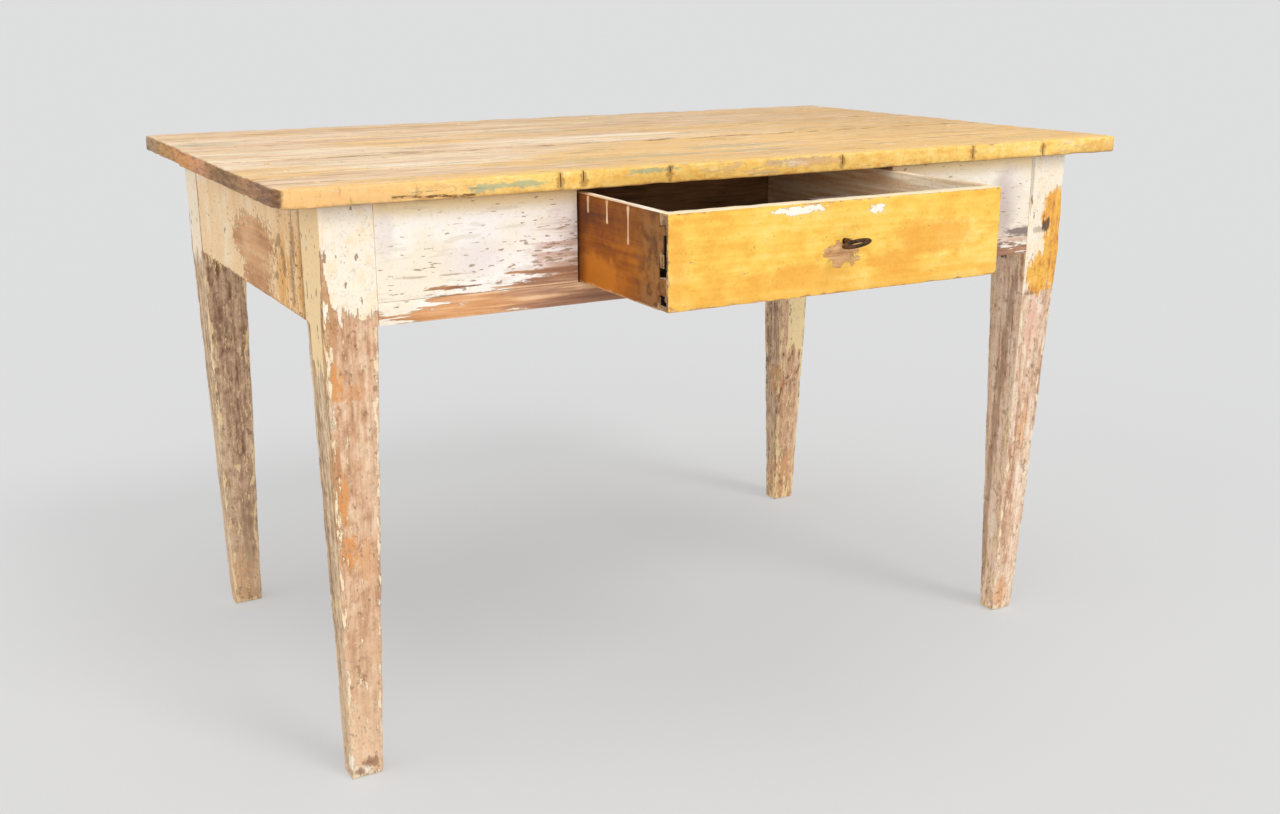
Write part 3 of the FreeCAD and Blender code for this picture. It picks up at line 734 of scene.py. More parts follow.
def leg_finish(
    name, front_wood, side_wood, front_end, side_end, rub_width, rub_side, front_cream=white_cream,
    side_cream=yellow_cream, inner_end=0.60, cream_from=(-2.0, -1.9), scrap_gain=0.0, foot_light=0.1,
    fleck_share=0.25, gold_areas=(), tints=(), marks=(),
):
    """Bare tapering wood under a head of cream, with remains of older coats where the look has them."""
    at = Surface(f"worn_{name}")
    bands, streaks, fibres = at.grain(2, (3.2, 9, 24), (46, 160, 480))
    blotches = at.noise((95, 95, 60), 7, 0.68)
    flaking = at.noise((150, 150, 34), 7, 0.68)
    front = rise(at.facing_y, -0.45, -0.75)
    outer = rise(at.facing_x, -0.45, -0.75)
    tone = bands * 0.25 + streaks * 0.3 + blotches * 0.3 + fibres * 0.15
    wood = ramp(tone, *zip((0.42, 0.50, 0.58), front_wood))
    wood = mixed(front, ramp(tone, *zip((0.42, 0.50, 0.58), side_wood)), wood)
    for tint, strength, areas in tints:
        mask = at.patches(areas, flaking * 0.5 + blotches * 0.5, 0.9, 0.25)
        wood = mixed(mask * rise(blotches, 0.34, 0.52) * strength, wood, tint)
    flecks = at.noise((130, 130, 62), 3, 0.5)
    wood = mixed(rise(flecks, 0.60, 0.66) * fleck_share, wood, (246, 216, 168))
    wood = mixed(rise(flecks, 0.40, 0.34) * fleck_share, wood, (128, 86, 54))
    foot = rise(at.z + (blotches - 0.5) * 0.14, 0.055, 0.0)
    pits = rise(at.noise((130, 130, 70), 6, 0.65) + foot * 0.05, 0.595, 0.64)
    wood = mixed(rise(at.z, 0.30, 0.05) * foot_light, wood, (240, 206, 168))
    wood = mixed(pits * 0.5, wood, (122, 82, 54))

    ends = front * front_end + outer * (1 - front) * side_end
    ends = ends + (1 - front) * (1 - outer) * inner_end
    head = rise(at.z - ends + (flaking - 0.5) * 0.10 + (streaks - 0.5) * 0.06, -0.003, 0.003)
    head = head * rise(at.x + (flaking - 0.5) * 0.02, *cream_from)
    near_arris = rise(at.arris, 0.012, 0.002)
    scraps = rise(flaking + near_arris * 0.10 + foot * 0.03 + scrap_gain, 0.60, 0.63)
    chips = rise(at.noise((120, 120, 46), 3, 0.5), 0.645, 0.675)
    rubbed_width = rise(at.z, 0.70, 0.60) * rub_width
    rubbed = rise(at.arris - rubbed_width + (flaking - 0.5) * 0.016, 0.0010, 0.0002) * rise(at.z, 0.72, 0.69)
    rubbed = rubbed * rise(at.x, *rub_side)
    kept = (head * (1 - chips) * (1 - rubbed)) | scraps
    # Painted shade: the one coat of cream gets a yellower colour on the faces of a leg that lie more in
    # shade.
    cream = mixed(front, side_cream, front_cream)
    cream = mixed(rise(blotches, 0.46, 0.60) * 0.4, cream, side_cream)
    cream = mixed((1 - head) * 0.5, cream, (244, 212, 164))
    if gold_areas:
        gold = at.patches(gold_areas, flaking * 0.5 + blotches * 0.5, 0.8, 0.12)
        kept = kept | gold
        golden = ramp(
            streaks * 0.4 + blotches * 0.6, (0.40, (196, 132, 70)), (0.46, (236, 168, 72)),
            (0.60, (252, 200, 92)),
        )
        cream = mixed(gold, cream, golden)
    under = mixed(head * chips, wood, (170, 146, 114))
    colour = coat(under, cream, 1 - kept, (150, 112, 76), 0.3)
    for tint, strength, areas in marks:
        mask = at.patches(areas, flaking * 0.6 + streaks * 0.4, 1.1, 0.3)
        colour = mixed(mask * strength, colour, tint)
    colour = at.soiled(colour, 0.25)
    roughness = 0.66 - kept * 0.12 + (streaks - 0.5) * 0.3
    height = kept * 0.45 + fibres * 0.25 + streaks * 0.3 - pits * 0.3
    return at.lay(colour, roughness, height, 0.0008)


# %% The look of each leg
leg_looks = {
    "leg_front_left": dict(
        front_wood=pink_wood, side_wood=tan_wood, front_end=0.614, side_end=0.545,
        rub_width=0.013, rub_side=(-0.560, -0.572), foot_light=0.5,
        tints=[
            (old_tan, 0.75, [
                (-0.588, -0.257, 0.60, 0.008, 0.02, 0.09), (-0.588, -0.246, 0.40, 0.006, 0.014, 0.07),
            ]),
            (old_orange, 0.4, [
                (-0.562, -0.254, 0.522, 0.016, 0.014, 0.012), (-0.555, -0.243, 0.30, 0.010, 0.014, 0.03),
            ]),
            (old_orange, 0.85, [
                (-0.581, -0.254, 0.534, 0.008, 0.014, 0.026), (-0.580, -0.246, 0.385, 0.006, 0.014, 0.036),
                (-0.575, -0.243, 0.318, 0.010, 0.014, 0.022),
            ]),
        ],
        marks=[
            (white_cream, 0.8, [
                (-0.588, -0.229, 0.026, 0.006, 0.01, 0.010), (-0.566, -0.229, 0.012, 0.008, 0.01, 0.006),
            ]),
            (mid_brown, 0.7, [
                (-0.560, -0.228, 0.020, 0.010, 0.01, 0.008), (-0.578, -0.228, 0.010, 0.008, 0.01, 0.006),
            ]),
        ],
    ),
    "leg_front_right": dict(
        front_wood=peach_wood, side_wood=rosy_wood, front_end=0.545, side_end=0.60,
        rub_width=0.004, rub_side=(0.530, 0.540),
        gold_areas=[
            (0.545, -0.258, 0.665, 0.026, 0.02, 0.032), (0.543, -0.255, 0.60, 0.020, 0.02, 0.060),
            (0.522, -0.252, 0.566, 0.026, 0.02, 0.034),
        ],
        tints=[
            (old_orange, 0.5, [
                (0.522, -0.245, 0.31, 0.008, 0.014, 0.04), (0.512, -0.232, 0.03, 0.012, 0.02, 0.03),
            ]),
            (old_pink, 0.6, [(0.516, -0.253, 0.49, 0.010, 0.014, 0.05)]),
        ],
        marks=[
            (dark_brown, 0.9, [
                (0.529, -0.258, 0.640, 0.007, 0.01, 0.009), (0.491, -0.208, 0.590, 0.01, 0.006, 0.005),
            ]),
            (dark_brown, 0.4, [
                (0.512, -0.258, 0.634, 0.010, 0.01, 0.005), (0.508, -0.250, 0.536, 0.016, 0.02, 0.0025),
            ]),
            (dark_brown, 0.3, [(0.494, -0.2575, 0.70, 0.003, 0.01, 0.04)]),
            (mid_brown, 0.5, [
                (0.491, -0.240, 0.56, 0.01, 0.005, 0.024), (0.492, -0.231, 0.508, 0.01, 0.007, 0.034),
                (0.493, -0.223, 0.445, 0.01, 0.008, 0.042), (0.494, -0.216, 0.385, 0.01, 0.008, 0.04),
                (0.495, -0.212, 0.32, 0.01, 0.008, 0.05), (0.496, -0.207, 0.235, 0.01, 0.007, 0.06),
                (0.497, -0.203, 0.12, 0.01, 0.006, 0.09),
            ]),
        ],
    ),
    "leg_back_left": dict(
        front_wood=brown_wood, side_wood=tan_wood, front_end=0.58, side_end=0.585,
        front_cream=yellow_cream, side_cream=pale_cream, scrap_gain=0.016, fleck_share=0.5, foot_light=0.4,
        rub_width=0.010, rub_side=(-0.560, -0.572),
        tints=[(old_orange, 0.5, [(-0.575, 0.40, 0.04, 0.03, 0.04, 0.05)])],
    ),
    "leg_back_right": dict(
        front_wood=pink_wood, side_wood=brown_wood, front_end=0.31, side_end=0.60,
        front_cream=(255, 230, 176), cream_from=(0.504, 0.510), scrap_gain=0.030, foot_light=0.2,
        fleck_share=0.85, rub_width=0.003, rub_side=(0.530, 0.540),
        tints=[(old_orange, 0.6, [
            (0.52, 0.40, 0.04, 0.04, 0.04, 0.05), (0.49, 0.39, 0.25, 0.014, 0.03, 0.03),
        ])],
    ),
}
print(len(leg_looks), "looks")

# %% [markdown]
# The blank of a leg is one block that is bisected under the apron. Its lower end is then scaled and moved
# to the foot that the frame gives, which is made a few millimetres wider, as old feet spread. The soles are
# worn round, and so are all arrises but those in the joints, which the aprons keep sharp. Waves and dents
# follow as on the boards.

# %% The legs
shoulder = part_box("front_rail")[0].z
table_middle = (cad_low + cad_high) / 2
sole_wear = 0.0032
arris_wear = 0.0017
leg_waves = 0.0008
leg_dents = 0.0017
leg_wear_reach = 0.010
leg_steps = (0.008, 0.008, 0.007)
foot_growth = {
    "leg_front_left": (0.0, 0.006), "leg_front_right": (0.0, 0.004),
    "leg_back_left": (-0.002, 0.006), "leg_back_right": (-0.004, 0.003),
}


def leg(node):
    """A leg: a block bisected at the shoulder, with its lower end drawn in to the foot."""
    low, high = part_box(node)
    soles = [vertex.co for vertex in nodes[node].data.vertices if vertex.co.z < low.z + 0.0005]
    foot_low, foot_high = (Vector([side(sole[i] for sole in soles) for i in range(3)]) for side in (min, max))
    foot_low.x += foot_growth[node][0]
    foot_high.x += foot_growth[node][1]
    drawn_in = [(foot_high[i] - foot_low[i]) / (high[i] - low[i]) for i in range(2)]
    head_middle = (low + high) / 2
    to_foot = (foot_low + foot_high) / 2 - head_middle
    outwards = [math.copysign(1, head_middle[i] - table_middle[i]) for i in range(2)]

    def at_sole(vertex):
        return vertex.co.z < low.z + 0.001

    def in_joint(edge):
        """An arris of the head that an apron covers, which is every one but the outer corner."""
        middle = (edge.verts[0].co + edge.verts[1].co) / 2
        return middle.z > shoulder and any((middle[i] - head_middle[i]) * outwards[i] < 0 for i in range(2))

    def section(point):
        """The leg's sides at the height of a point, with those in the joint set far away."""
        share = min(1.0, max(0.0, (point.z - low.z) / (shoulder - low.z)))
        near, far = foot_low.lerp(low, share), foot_high.lerp(high, share)
        near.z, far.z = low.z, high.z
        if point.z > shoulder:
            for i in range(2):
                side = near if outwards[i] > 0 else far
                side[i] -= outwards[i]
        return near, far

    piece = add_block(f"{node}_worn", low, high)
    with editing(piece):
        bisect(2, shoulder)
        choose(piece, "VERT", at_sole)
        bpy.ops.transform.resize(value=(*drawn_in, 1), center_override=head_middle)
        bpy.ops.transform.translate(value=(to_foot.x, to_foot.y, 0))
        choose(piece, "EDGE", lambda edge: all(at_sole(vertex) for vertex in edge.verts))
        bevel(sole_wear, 2)
        choose(piece, "EDGE", lambda edge: edge.calc_face_angle(0) > 1 and not in_joint(edge))
        bevel(arris_wear, 3)
        for axis, step in enumerate(leg_steps):
            slice_along(piece, axis, step)
    note_arrises(piece, section, leg_wear_reach)
    carve(piece, leg_waves, wave_size, (1, 1, 5))
    carve(piece, leg_dents, dent_size, (1, 1, 3), "edge_wear", dent_hardness, keep=0.3)
    soften(piece)
    return piece


for node, look in leg_looks.items():
    stand_in(leg(node), node, "frame", leg_finish(node, **look))

# %% [markdown]
# ## The aprons
#
# The front apron is a low rail with a panel on each side of the drawer. The panels kept their cream paint,
# with short chips that follow the grain, while the rail was rubbed bare by knees and aprons. The end apron
# has one large ragged patch where the paint fell off. Each of these is a place on the table, so the finish
# knows it by its coordinates.

# %% Where the aprons lie
front_left_leg, front_right_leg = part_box("leg_front_left"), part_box("leg_front_right")
left_shoulder, right_shoulder = front_left_leg[1].x, front_right_leg[0].x
front_shoulder, back_shoulder = front_left_leg[1].y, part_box("leg_back_left")[0].y
apron_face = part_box("front_panel_left")[0].y
end_face, right_end_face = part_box("end_apron_left")[0].x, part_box("end_apron_right")[1].x
frame_middle = (end_face + right_end_face) / 2
print("front face", round(apron_face, 5), "ends", round(end_face, 5), round(right_end_face, 5))


def inner_face(facing, place):
    """One on the faces that look towards the middle of the table."""
    high_side = rise(facing * rise(place, -0.1, 0.1), -0.3, -0.7)
    return rise(facing * rise(place, 0.1, -0.1), 0.3, 0.7) | high_side


def lay_cream(at, colour, smoothest, gone, streaks, fibres):
    """Ends a finish of cream paint, which is smoother and stands higher than the wood where it is gone."""
    roughness = smoothest + gone * 0.14 + (streaks - 0.5) * 0.2
    height = (1 - gone) * 0.5 + fibres * 0.2 + streaks * 0.3
    return at.lay(colour, roughness, height, 0.0007)


# %% The finish of the front and the back
def cream_finish():
    at = Surface("worn_cream_front", (1, apron_face, 0.02))
    bands, streaks, fibres = at.grain(0, (3, 7, 16))
    clouds = at.noise((9, 9, 14), 4)
    flaking = at.noise((62, 62, 210), 7, 0.64)
    wood = ramp(
        bands * 0.4 + streaks * 0.4 + fibres * 0.2, (0.41, (146, 98, 66)), (0.50, (206, 150, 108)),
        (0.58, (238, 196, 154)),
    )
    cream = ramp(clouds, (0.40, (249, 236, 214)), (0.50, (253, 244, 229)), (0.60, (253, 246, 240)))
    # Painted shade and warm reflected light of the golden edge: the cream turns golden in a strip just under
    # the top.
    under_top_shade_and_glow = rise(at.z + (clouds - 0.5) * 0.02, 0.718, 0.744)
    cream = mixed(under_top_shade_and_glow * 0.9, cream, (255, 224, 162))
    # Lilac-grey patches; the two beside the drawer, at x -0.28 and 0.445, are painted shade of the drawer on
    # the panels.
    lilac_tint_and_drawer_shade = at.patches([
        (-0.280, 0.705, 0.022, 0.028), (-0.515, 0.710, 0.012, 0.028),
        (-0.40, 0.670, 0.035, 0.024), (0.445, 0.69, 0.022, 0.045),
    ], clouds, 0.5, 0.5)
    cream = mixed(lilac_tint_and_drawer_shade * 0.45, cream, (228, 212, 208))
    # A darker patch on the right panel beside the drawer: painted shadow of the drawer, with dirt.
    drawer_shadow_and_dirt = at.patches([(0.436, 0.67, 0.018, 0.045)], clouds, 0.4, 0.7)
    cream = mixed(drawer_shadow_and_dirt * 0.5, cream, (168, 138, 132))
    torn = streaks * 0.5 + flaking * 0.5
    rosy = at.patches([(-0.290, 0.668, 0.036, 0.042), (0.47, 0.615, 0.04, 0.014)], torn, 0.9, 0.5)
    cream = mixed(rosy * 0.85 * rise(streaks, 0.40, 0.55), cream, (204, 162, 140))
    from_middle = abs(at.x - frame_middle)
    lower = rise(at.z, 0.725, 0.655) * 0.045
    toward_drawer = rise(from_middle, 0.46, 0.34)
    dashes = at.noise((58, 58, 260), 3, 0.5)
    chips = rise(dashes + lower + toward_drawer * 0.030 + rosy * 0.05, 0.675, 0.71)
    scuffs = rise(at.noise((22, 22, 160), 3, 0.5) + lower + toward_drawer * 0.02, 0.62, 0.70)
    cream = mixed(scuffs * 0.30, cream, (206, 186, 158))
    climb = rise(at.x, -0.40, -0.27) * rise(at.x, 0.1, -0.1) * 0.022
    near_leg = rise(from_middle + (flaking - 0.5) * 0.08, 0.425, 0.500)
    low_zone = rise(at.z - climb + near_leg * 0.034, 0.655, 0.604)
    peeling = at.noise((9, 60, 110), 5, 0.6) + (flaking - 0.5) * 0.15
    low_band = rise(peeling + low_zone * 0.28, 0.585, 0.625) * rise(at.z - climb, 0.660, 0.645)
    rubbed = rise(at.arris + (flaking - 0.5) * 0.012, 0.0016, 0.0004) * rise(at.z, 0.612, 0.604)
    gone = (chips * 0.8) | low_band | (rubbed * (1 - near_leg))
    golden = rise(abs(at.x + 0.43) + (clouds - 0.5) * 0.1, 0.09, 0.04) * rise(at.z, 0.635, 0.615)
    under = mixed(golden * 0.45, wood, (232, 164, 98))
    # Towards the drawer the bare wood of the peeled band is darker and purplish: painted shade of the drawer.
    drawer_shade_on_bare_wood = rise(at.x, -0.42, -0.30) * rise(streaks, 0.58, 0.44)
    under = mixed(drawer_shade_on_bare_wood * 0.55, under, (142, 106, 92))
    under = mixed(chips * (1 - low_band), under, (164, 138, 110))
    colour = coat(under, cream, gone, (172, 138, 106), 0.3)
    # A dark band on the right panel just above the rail: painted shade of the groove where the panel meets
    # the rail.
    rail_seam_shade = at.patches([(0.478, 0.635, 0.030, 0.0065)], flaking, 0.6, 0.4)
    colour = mixed(rail_seam_shade * 0.85, colour, (112, 92, 88))
    inner = rise(abs(at.facing_y), 0.7, 0.3) * rise(at.arris, 0.001, 0.002)
    colour = mixed((inner | inner_face(at.facing_y, at.y)) * 0.8, colour, wood)
    return lay_cream(at, at.soiled(colour, 0.15), 0.56, gone, streaks, fibres)


# %% The finish of the ends
def end_finish():
    at = Surface("worn_cream_end", (0, end_face, 0.02))
    bands, streaks, fibres = at.grain(1)
    clouds = at.noise((9, 12, 16), 4)
    flaking = at.noise((90, 100, 130), 7, 0.68)
    wood = ramp(
        bands * 0.3 + streaks * 0.3 + clouds * 0.4, (0.41, (188, 133, 87)), (0.50, (219, 164, 114)),
        (0.59, (238, 190, 140)),
    )
    # The cream on the ends is yellower than on the front: painted shade of the same paint on these side
    # faces.
    cream = ramp(clouds, (0.40, (248, 210, 159)), (0.50, (253, 221, 175)), (0.60, (255, 233, 200)))
    stains = rise(at.noise((30, 30, 7), 6, 0.62), 0.50, 0.64)
    cream = mixed(stains * 0.4, cream, (226, 186, 124))
    bare = at.patches([
        (0.050, 0.668, 0.098, 0.030), (0.040, 0.625, 0.070, 0.050), (0.110, 0.655, 0.050, 0.020),
        (right_end_face, 0.20, 0.62, 0.02, 0.12, 0.04),
    ], flaking, 0.65)
    islands = rise(flaking, 0.57, 0.60)
    toward_front = rise(at.y, 0.01, -0.10)
    chips = rise(flaking + toward_front * 0.05 + (clouds - 0.5) * 0.2, 0.635, 0.665)
    orange = toward_front * rise(at.z, 0.74, 0.66) * rise(at.noise((60, 60, 18), 6, 0.65), 0.40, 0.53)
    rubbed = rise(at.arris + (flaking - 0.5) * 0.016, 0.0022, 0.0008) * rise(at.z, 0.612, 0.604)
    gone = (bare * (1 - islands * 0.8)) | chips | rubbed
    under = mixed(chips * (1 - bare), wood, (158, 116, 74))
    cream = mixed(orange * 0.9, cream, (232, 168, 76))
    dark_spots = at.patches([
        (-0.079, 0.682, 0.012, 0.008), (-0.094, 0.669, 0.009, 0.008), (-0.100, 0.652, 0.008, 0.010),
        (-0.057, 0.635, 0.010, 0.006), (-0.145, 0.690, 0.008, 0.030), (-0.135, 0.640, 0.007, 0.036),
    ], flaking, 1.0, 0.3)
    colour = coat(under, cream, gone, (146, 104, 68), 0.4)
    colour = mixed(dark_spots * 0.65, colour, (142, 100, 58))
    # Dark bands on the apron along its joints with the legs: dirt, and painted shade of the joints.
    leg_joint_dirt_and_shade = rise(at.y + (flaking - 0.5) * 0.02, back_shoulder - 0.010, back_shoulder - 0.002)
    leg_joint_dirt_and_shade = leg_joint_dirt_and_shade | (rise(at.y + (flaking - 0.5) * 0.03, front_shoulder + 0.014, front_shoulder + 0.002) * 0.7)
    colour = mixed(leg_joint_dirt_and_shade * 0.8, colour, (134, 96, 56))
    colour = mixed(inner_face(at.facing_x, at.x) * 0.85, colour, wood)
    return lay_cream(at, at.soiled(colour, 0.22), 0.58, gone, streaks, fibres)


# %% The aprons
def between_shoulders(node):
    """The corners of a rail or apron without the tenons at its ends."""
    low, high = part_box(node)
    if high.x - low.x > high.y - low.y:
        low.x = max(low.x, left_shoulder)
        high.x = min(high.x, right_shoulder)
    else:
        low.y = max(low.y, front_shoulder)
        high.y = min(high.y, back_shoulder)
    return low, high


cream_paint = cream_finish()
end_paint = end_finish()
for node in ("front_panel_left", "front_panel_right", "front_rail", "back_apron"):
    piece = board(node, *between_shoulders(node), eased=0.0004, chips=0.0004, grain=0)
    stand_in(piece, node, "frame", cream_paint)
for node in ("end_apron_left", "end_apron_right"):
    piece = board(node, *between_shoulders(node), eased=0.0005, chips=0.0006, grain=1, waves=0.0005)
    stand_in(piece, node, "frame", end_paint)

# %% [markdown]
# ## The drawer
#
# The drawer front is the brightest piece: golden yellow, lighter to the upper right and more orange below,
# with a few chips and a rubbed patch round the keyhole. Its sides are stained a reddish brown and joined to
# the front with half-blind dovetails, whose sockets are cut here a little larger than the tails, because
# the old joint stands open.

# %% Where the drawer lies
drawer_low, drawer_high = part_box("drawer_front")
side_low, side_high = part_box("drawer_side_left")
joint_dark = (36, 24, 15)
print("drawer front", [round(side, 4) for side in drawer_high - drawer_low])


def joint_shadow(at):
    """The dark of the open dovetails, which lies behind the drawer's left face."""
    inward, back, down = at.x - drawer_low.x, at.y - drawer_low.y, drawer_high.z - at.z
    deep = rise(inward, 0.0008, 0.0022) * rise(inward, 0.0135, 0.0120)
    along = rise(back, 0.0015, 0.0028) * rise(back, 0.0245, 0.0215)
    return deep * along * rise(down, 0.0006, 0.0022)


# %% The finish of the drawer's front
def drawer_front_finish():
    at = Surface("worn_yellow_drawer", (1, drawer_low.y, 0.02))
    _, streaks, fibres = at.grain(0)
    clouds = at.noise((9, 20, 15), 5, 0.55)
    mottles = at.noise((40, 40, 60), 7, 0.66)
    flaking = at.noise((70, 70, 160), 7, 0.66)
    paint = ramp(
        clouds * 0.45 + mottles * 0.3 + streaks * 0.25, (0.41, (244, 182, 68)), (0.50, (252, 203, 88)),
        (0.59, (255, 218, 118)),
    )
    orange = rise(at.z + (clouds - 0.5) * 0.12 + (mottles - 0.5) * 0.04, 0.680, 0.630)
    blush = at.patches([
        (-0.075, 0.648, 0.085, 0.018), (-0.250, 0.675, 0.014, 0.045),
        (0.055, 0.660, 0.035, 0.014), (0.130, 0.685, 0.070, 0.024),
    ], clouds * 0.6 + mottles * 0.4, 1.2, 0.5)
    paint = mixed((orange * 0.32) | (blush * 0.45), paint, (238, 156, 58))
    wood = ramp(streaks, (0.42, (204, 146, 94)), (0.58, (242, 194, 140)))
    torn = flaking * 0.5 + at.noise((160, 160, 220), 5, 0.6) * 0.5
    white = at.patches([(-0.086, 0.7325, 0.036, 0.0048), (0.029, 0.7262, 0.012, 0.0056)], torn, 1.1)
    rubbed_patch = at.patches([(-0.022, 0.677, 0.024, 0.014)], flaking, 0.7)
    chips = rise(flaking + (mottles - 0.5) * 0.15, 0.68, 0.70)
    rubbed = rise(at.arris + (flaking - 0.5) * 0.014, 0.0012, 0.0004)
    top_edge = rise(at.facing_z, 0.5, 0.8)
    gone = chips | rubbed_patch | rubbed | white | top_edge
    under = mixed(rise(mottles, 0.50, 0.62) * 0.6, wood, (150, 104, 72))
    under = mixed(white, under, (252, 244, 228))
    under = mixed(top_edge, under, (250, 230, 190))
    colour = coat(under, paint, gone, (160, 104, 52), 0.5)
    inside = ramp(streaks, (0.42, (96, 70, 46)), (0.58, (158, 124, 88)))
    colour = mixed(rise(at.facing_y, 0.3, 0.7), colour, inside)
    ends = rise(abs(at.facing_x), 0.5, 0.8)
    colour = mixed(ends, colour, ramp(mottles, (0.42, (128, 92, 58)), (0.58, (216, 172, 118))))
    colour = mixed(joint_shadow(at), colour, joint_dark)
    colour = at.soiled(colour, 0.16)
    roughness = 0.48 + gone * 0.2 + (mottles - 0.5) * 0.25
    height = (1 - gone) * 0.5 + fibres * 0.15 + streaks * 0.25 + mottles * 0.1
    return at.lay(colour, roughness, height, 0.0006)


# %% The finishes of the drawer's sides and of plain wood
def drawer_side_finish():
    at = Surface("stained_drawer_side", (0, drawer_low.x, 0.03))
    bands, streaks, fibres = at.grain(1)
    clouds = at.noise((12, 9, 16), 4)
    mottles = at.noise((60, 60, 60), 7, 0.66)
    stain = ramp(
        bands * 0.3 + streaks * 0.25 + clouds * 0.25 + mottles * 0.2, (0.42, (100, 48, 6)),
        (0.50, (146, 76, 10)), (0.58, (182, 106, 22)),
    )
    torn = clouds * 0.5 + mottles * 0.5
    worn_rear = at.patches([(-0.285, 0.637, 0.095, 0.032)], torn, 1.0, 0.4)
    stain = mixed(worn_rear * 0.72, stain, (214, 128, 34))
    # Darker at the rear end, where the side runs into the opening: painted shadow of the opening.
    opening_shadow = rise(at.y + (clouds - 0.5) * 0.04, -0.285, -0.262)
    dark_top = rise(at.z + (clouds - 0.5) * 0.04, 0.682, 0.730) * 0.42
    stain = mixed((opening_shadow * 0.6) | dark_top, stain, (84, 42, 20))
    greyed = rise(at.y + (clouds - 0.5) * 0.08, -0.38, -0.44)
    stain = mixed(greyed * 0.7, stain, mixed(rise(mottles, 0.42, 0.58), (100, 70, 40), (156, 110, 64)))
    lining = ramp(streaks, (0.42, (232, 204, 168)), (0.58, (255, 244, 222)))
    outside = rise(abs(at.x - frame_middle), 0.236, 0.240)
    colour = mixed(outside, lining, stain)
    colour = mixed(joint_shadow(at), colour, joint_dark)
    cream = mixed(rise(streaks, 0.42, 0.60), (226, 190, 150), (252, 238, 216))
    colour = mixed(rise(at.facing_z, 0.45, 0.75), colour, cream)
    low_edge = rise(at.arris + (mottles - 0.5) * 0.012, 0.0030, 0.0012) * rise(at.z, 0.640, 0.634)
    colour = mixed(low_edge * outside * 0.6, colour, (222, 176, 128))
    colour = at.soiled(colour, 0.25)
    roughness = 0.55 + (streaks - 0.5) * 0.4
    return at.lay(colour, roughness, streaks * 0.6 + fibres * 0.4, 0.0005, gloss=0.2)


def plain_wood_finish(name, dark, light, stretch):
    """Unpainted wood, with its grain drawn out along the axis where the stretch is small."""
    at = Surface(name)
    streaks = at.noise(stretch, 4, 0.6)
    fibres = at.noise([part * 4 for part in stretch], 2)
    blotches = at.noise((14, 14, 14), 3)
    tone = streaks * 0.55 + fibres * 0.2 + blotches * 0.25
    colour = ramp(tone, (0.38, dark), (0.62, light))
    rubbed = rise(at.arris + (streaks - 0.5) * 0.01, 0.003, 0.001)
    colour = mixed(rubbed * 0.35, colour, light)
    return at.lay(colour, 0.68 + (streaks - 0.5) * 0.3, streaks * 0.6 + fibres * 0.4, 0.0005)


# %% [markdown]
# A dovetail is a block whose rear end is narrower. The same block with a little slack cuts its socket. On
# the left, where the joint has lost some of its wood, three ragged blocks break it open. The keyhole is a
# round hole with a slot below it.

# %% Dovetails and open gaps
side_thickness = side_high.x - side_low.x
drawer_height = drawer_high.z - drawer_low.z
tail_shares = (0.27, 0.73)
tail_root = 0.12 * drawer_height
tail_tip = 0.155 * drawer_height
tail_front = side_low.y
joint_slack = 0.0011
open_gaps = (
    ((0.0030, 0.0385), (0.0200, 0.0500)), ((0.0035, 0.0500), (0.0105, 0.0880)),
    ((0.0035, 0.0065), (0.0190, 0.0190)),
)
gap_depth = 0.008
gap_step = 0.004
gap_raggedness = 0.0009


def tail(name, side, share, slack):
    """One dovetail at the front end of a drawer side, or with slack the socket that takes it."""
    outer = drawer_low.x - slack if side < 0 else drawer_high.x + slack
    inner = drawer_low.x + side_thickness + slack if side < 0 else drawer_high.x - side_thickness - slack
    middle = drawer_low.z + drawer_height * share
    start = Vector((min(outer, inner), tail_front - slack, middle - tail_tip - slack))
    end = Vector((max(outer, inner), drawer_high.y + slack, middle + tail_tip + slack))
    wedge = add_block(name, start, end)
    with editing(wedge):
        choose(wedge, "FACE", lambda face: face.normal.y > 0.9)
        bpy.ops.transform.resize(value=(1, 1, tail_root / tail_tip))
    return wedge


def open_joint(piece):
    """Breaks the dovetails open on the drawer's left face, where the old joint has lost some of its wood."""
    for number, (near, far) in enumerate(open_gaps):
        start = Vector((drawer_low.x - gap_depth, drawer_low.y + near[0], drawer_low.z + near[1]))
        end = Vector((drawer_low.x + gap_depth, drawer_low.y + far[0], drawer_low.z + far[1]))
        gap = add_block("open_gap", start, end)
        with editing(gap):
            slice_along(gap, 1, gap_step)
            slice_along(gap, 2, gap_step)
            choose_all()
            bpy.ops.transform.vertex_random(offset=gap_raggedness, seed=number)
        cut_with(piece, gap)


# %% The drawer's front
key_low, key_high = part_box("key")
key_axis = Vector(next(joint["pos_m"] for joint in frame["joints"] if joint["name"] == "key_turn"))
hole_radius = 0.0036
hole_reach = 0.025
slot_half, slot_length = 0.0021, 0.0095


def add_rod(vertices, radius, length, middle):
    """A round rod that runs from the front to the back."""
    deselect_all()
    bpy.ops.mesh.primitive_cylinder_add(
        vertices=vertices, radius=radius, depth=length, location=middle, rotation=(math.pi / 2, 0, 0),
    )
    return settled()


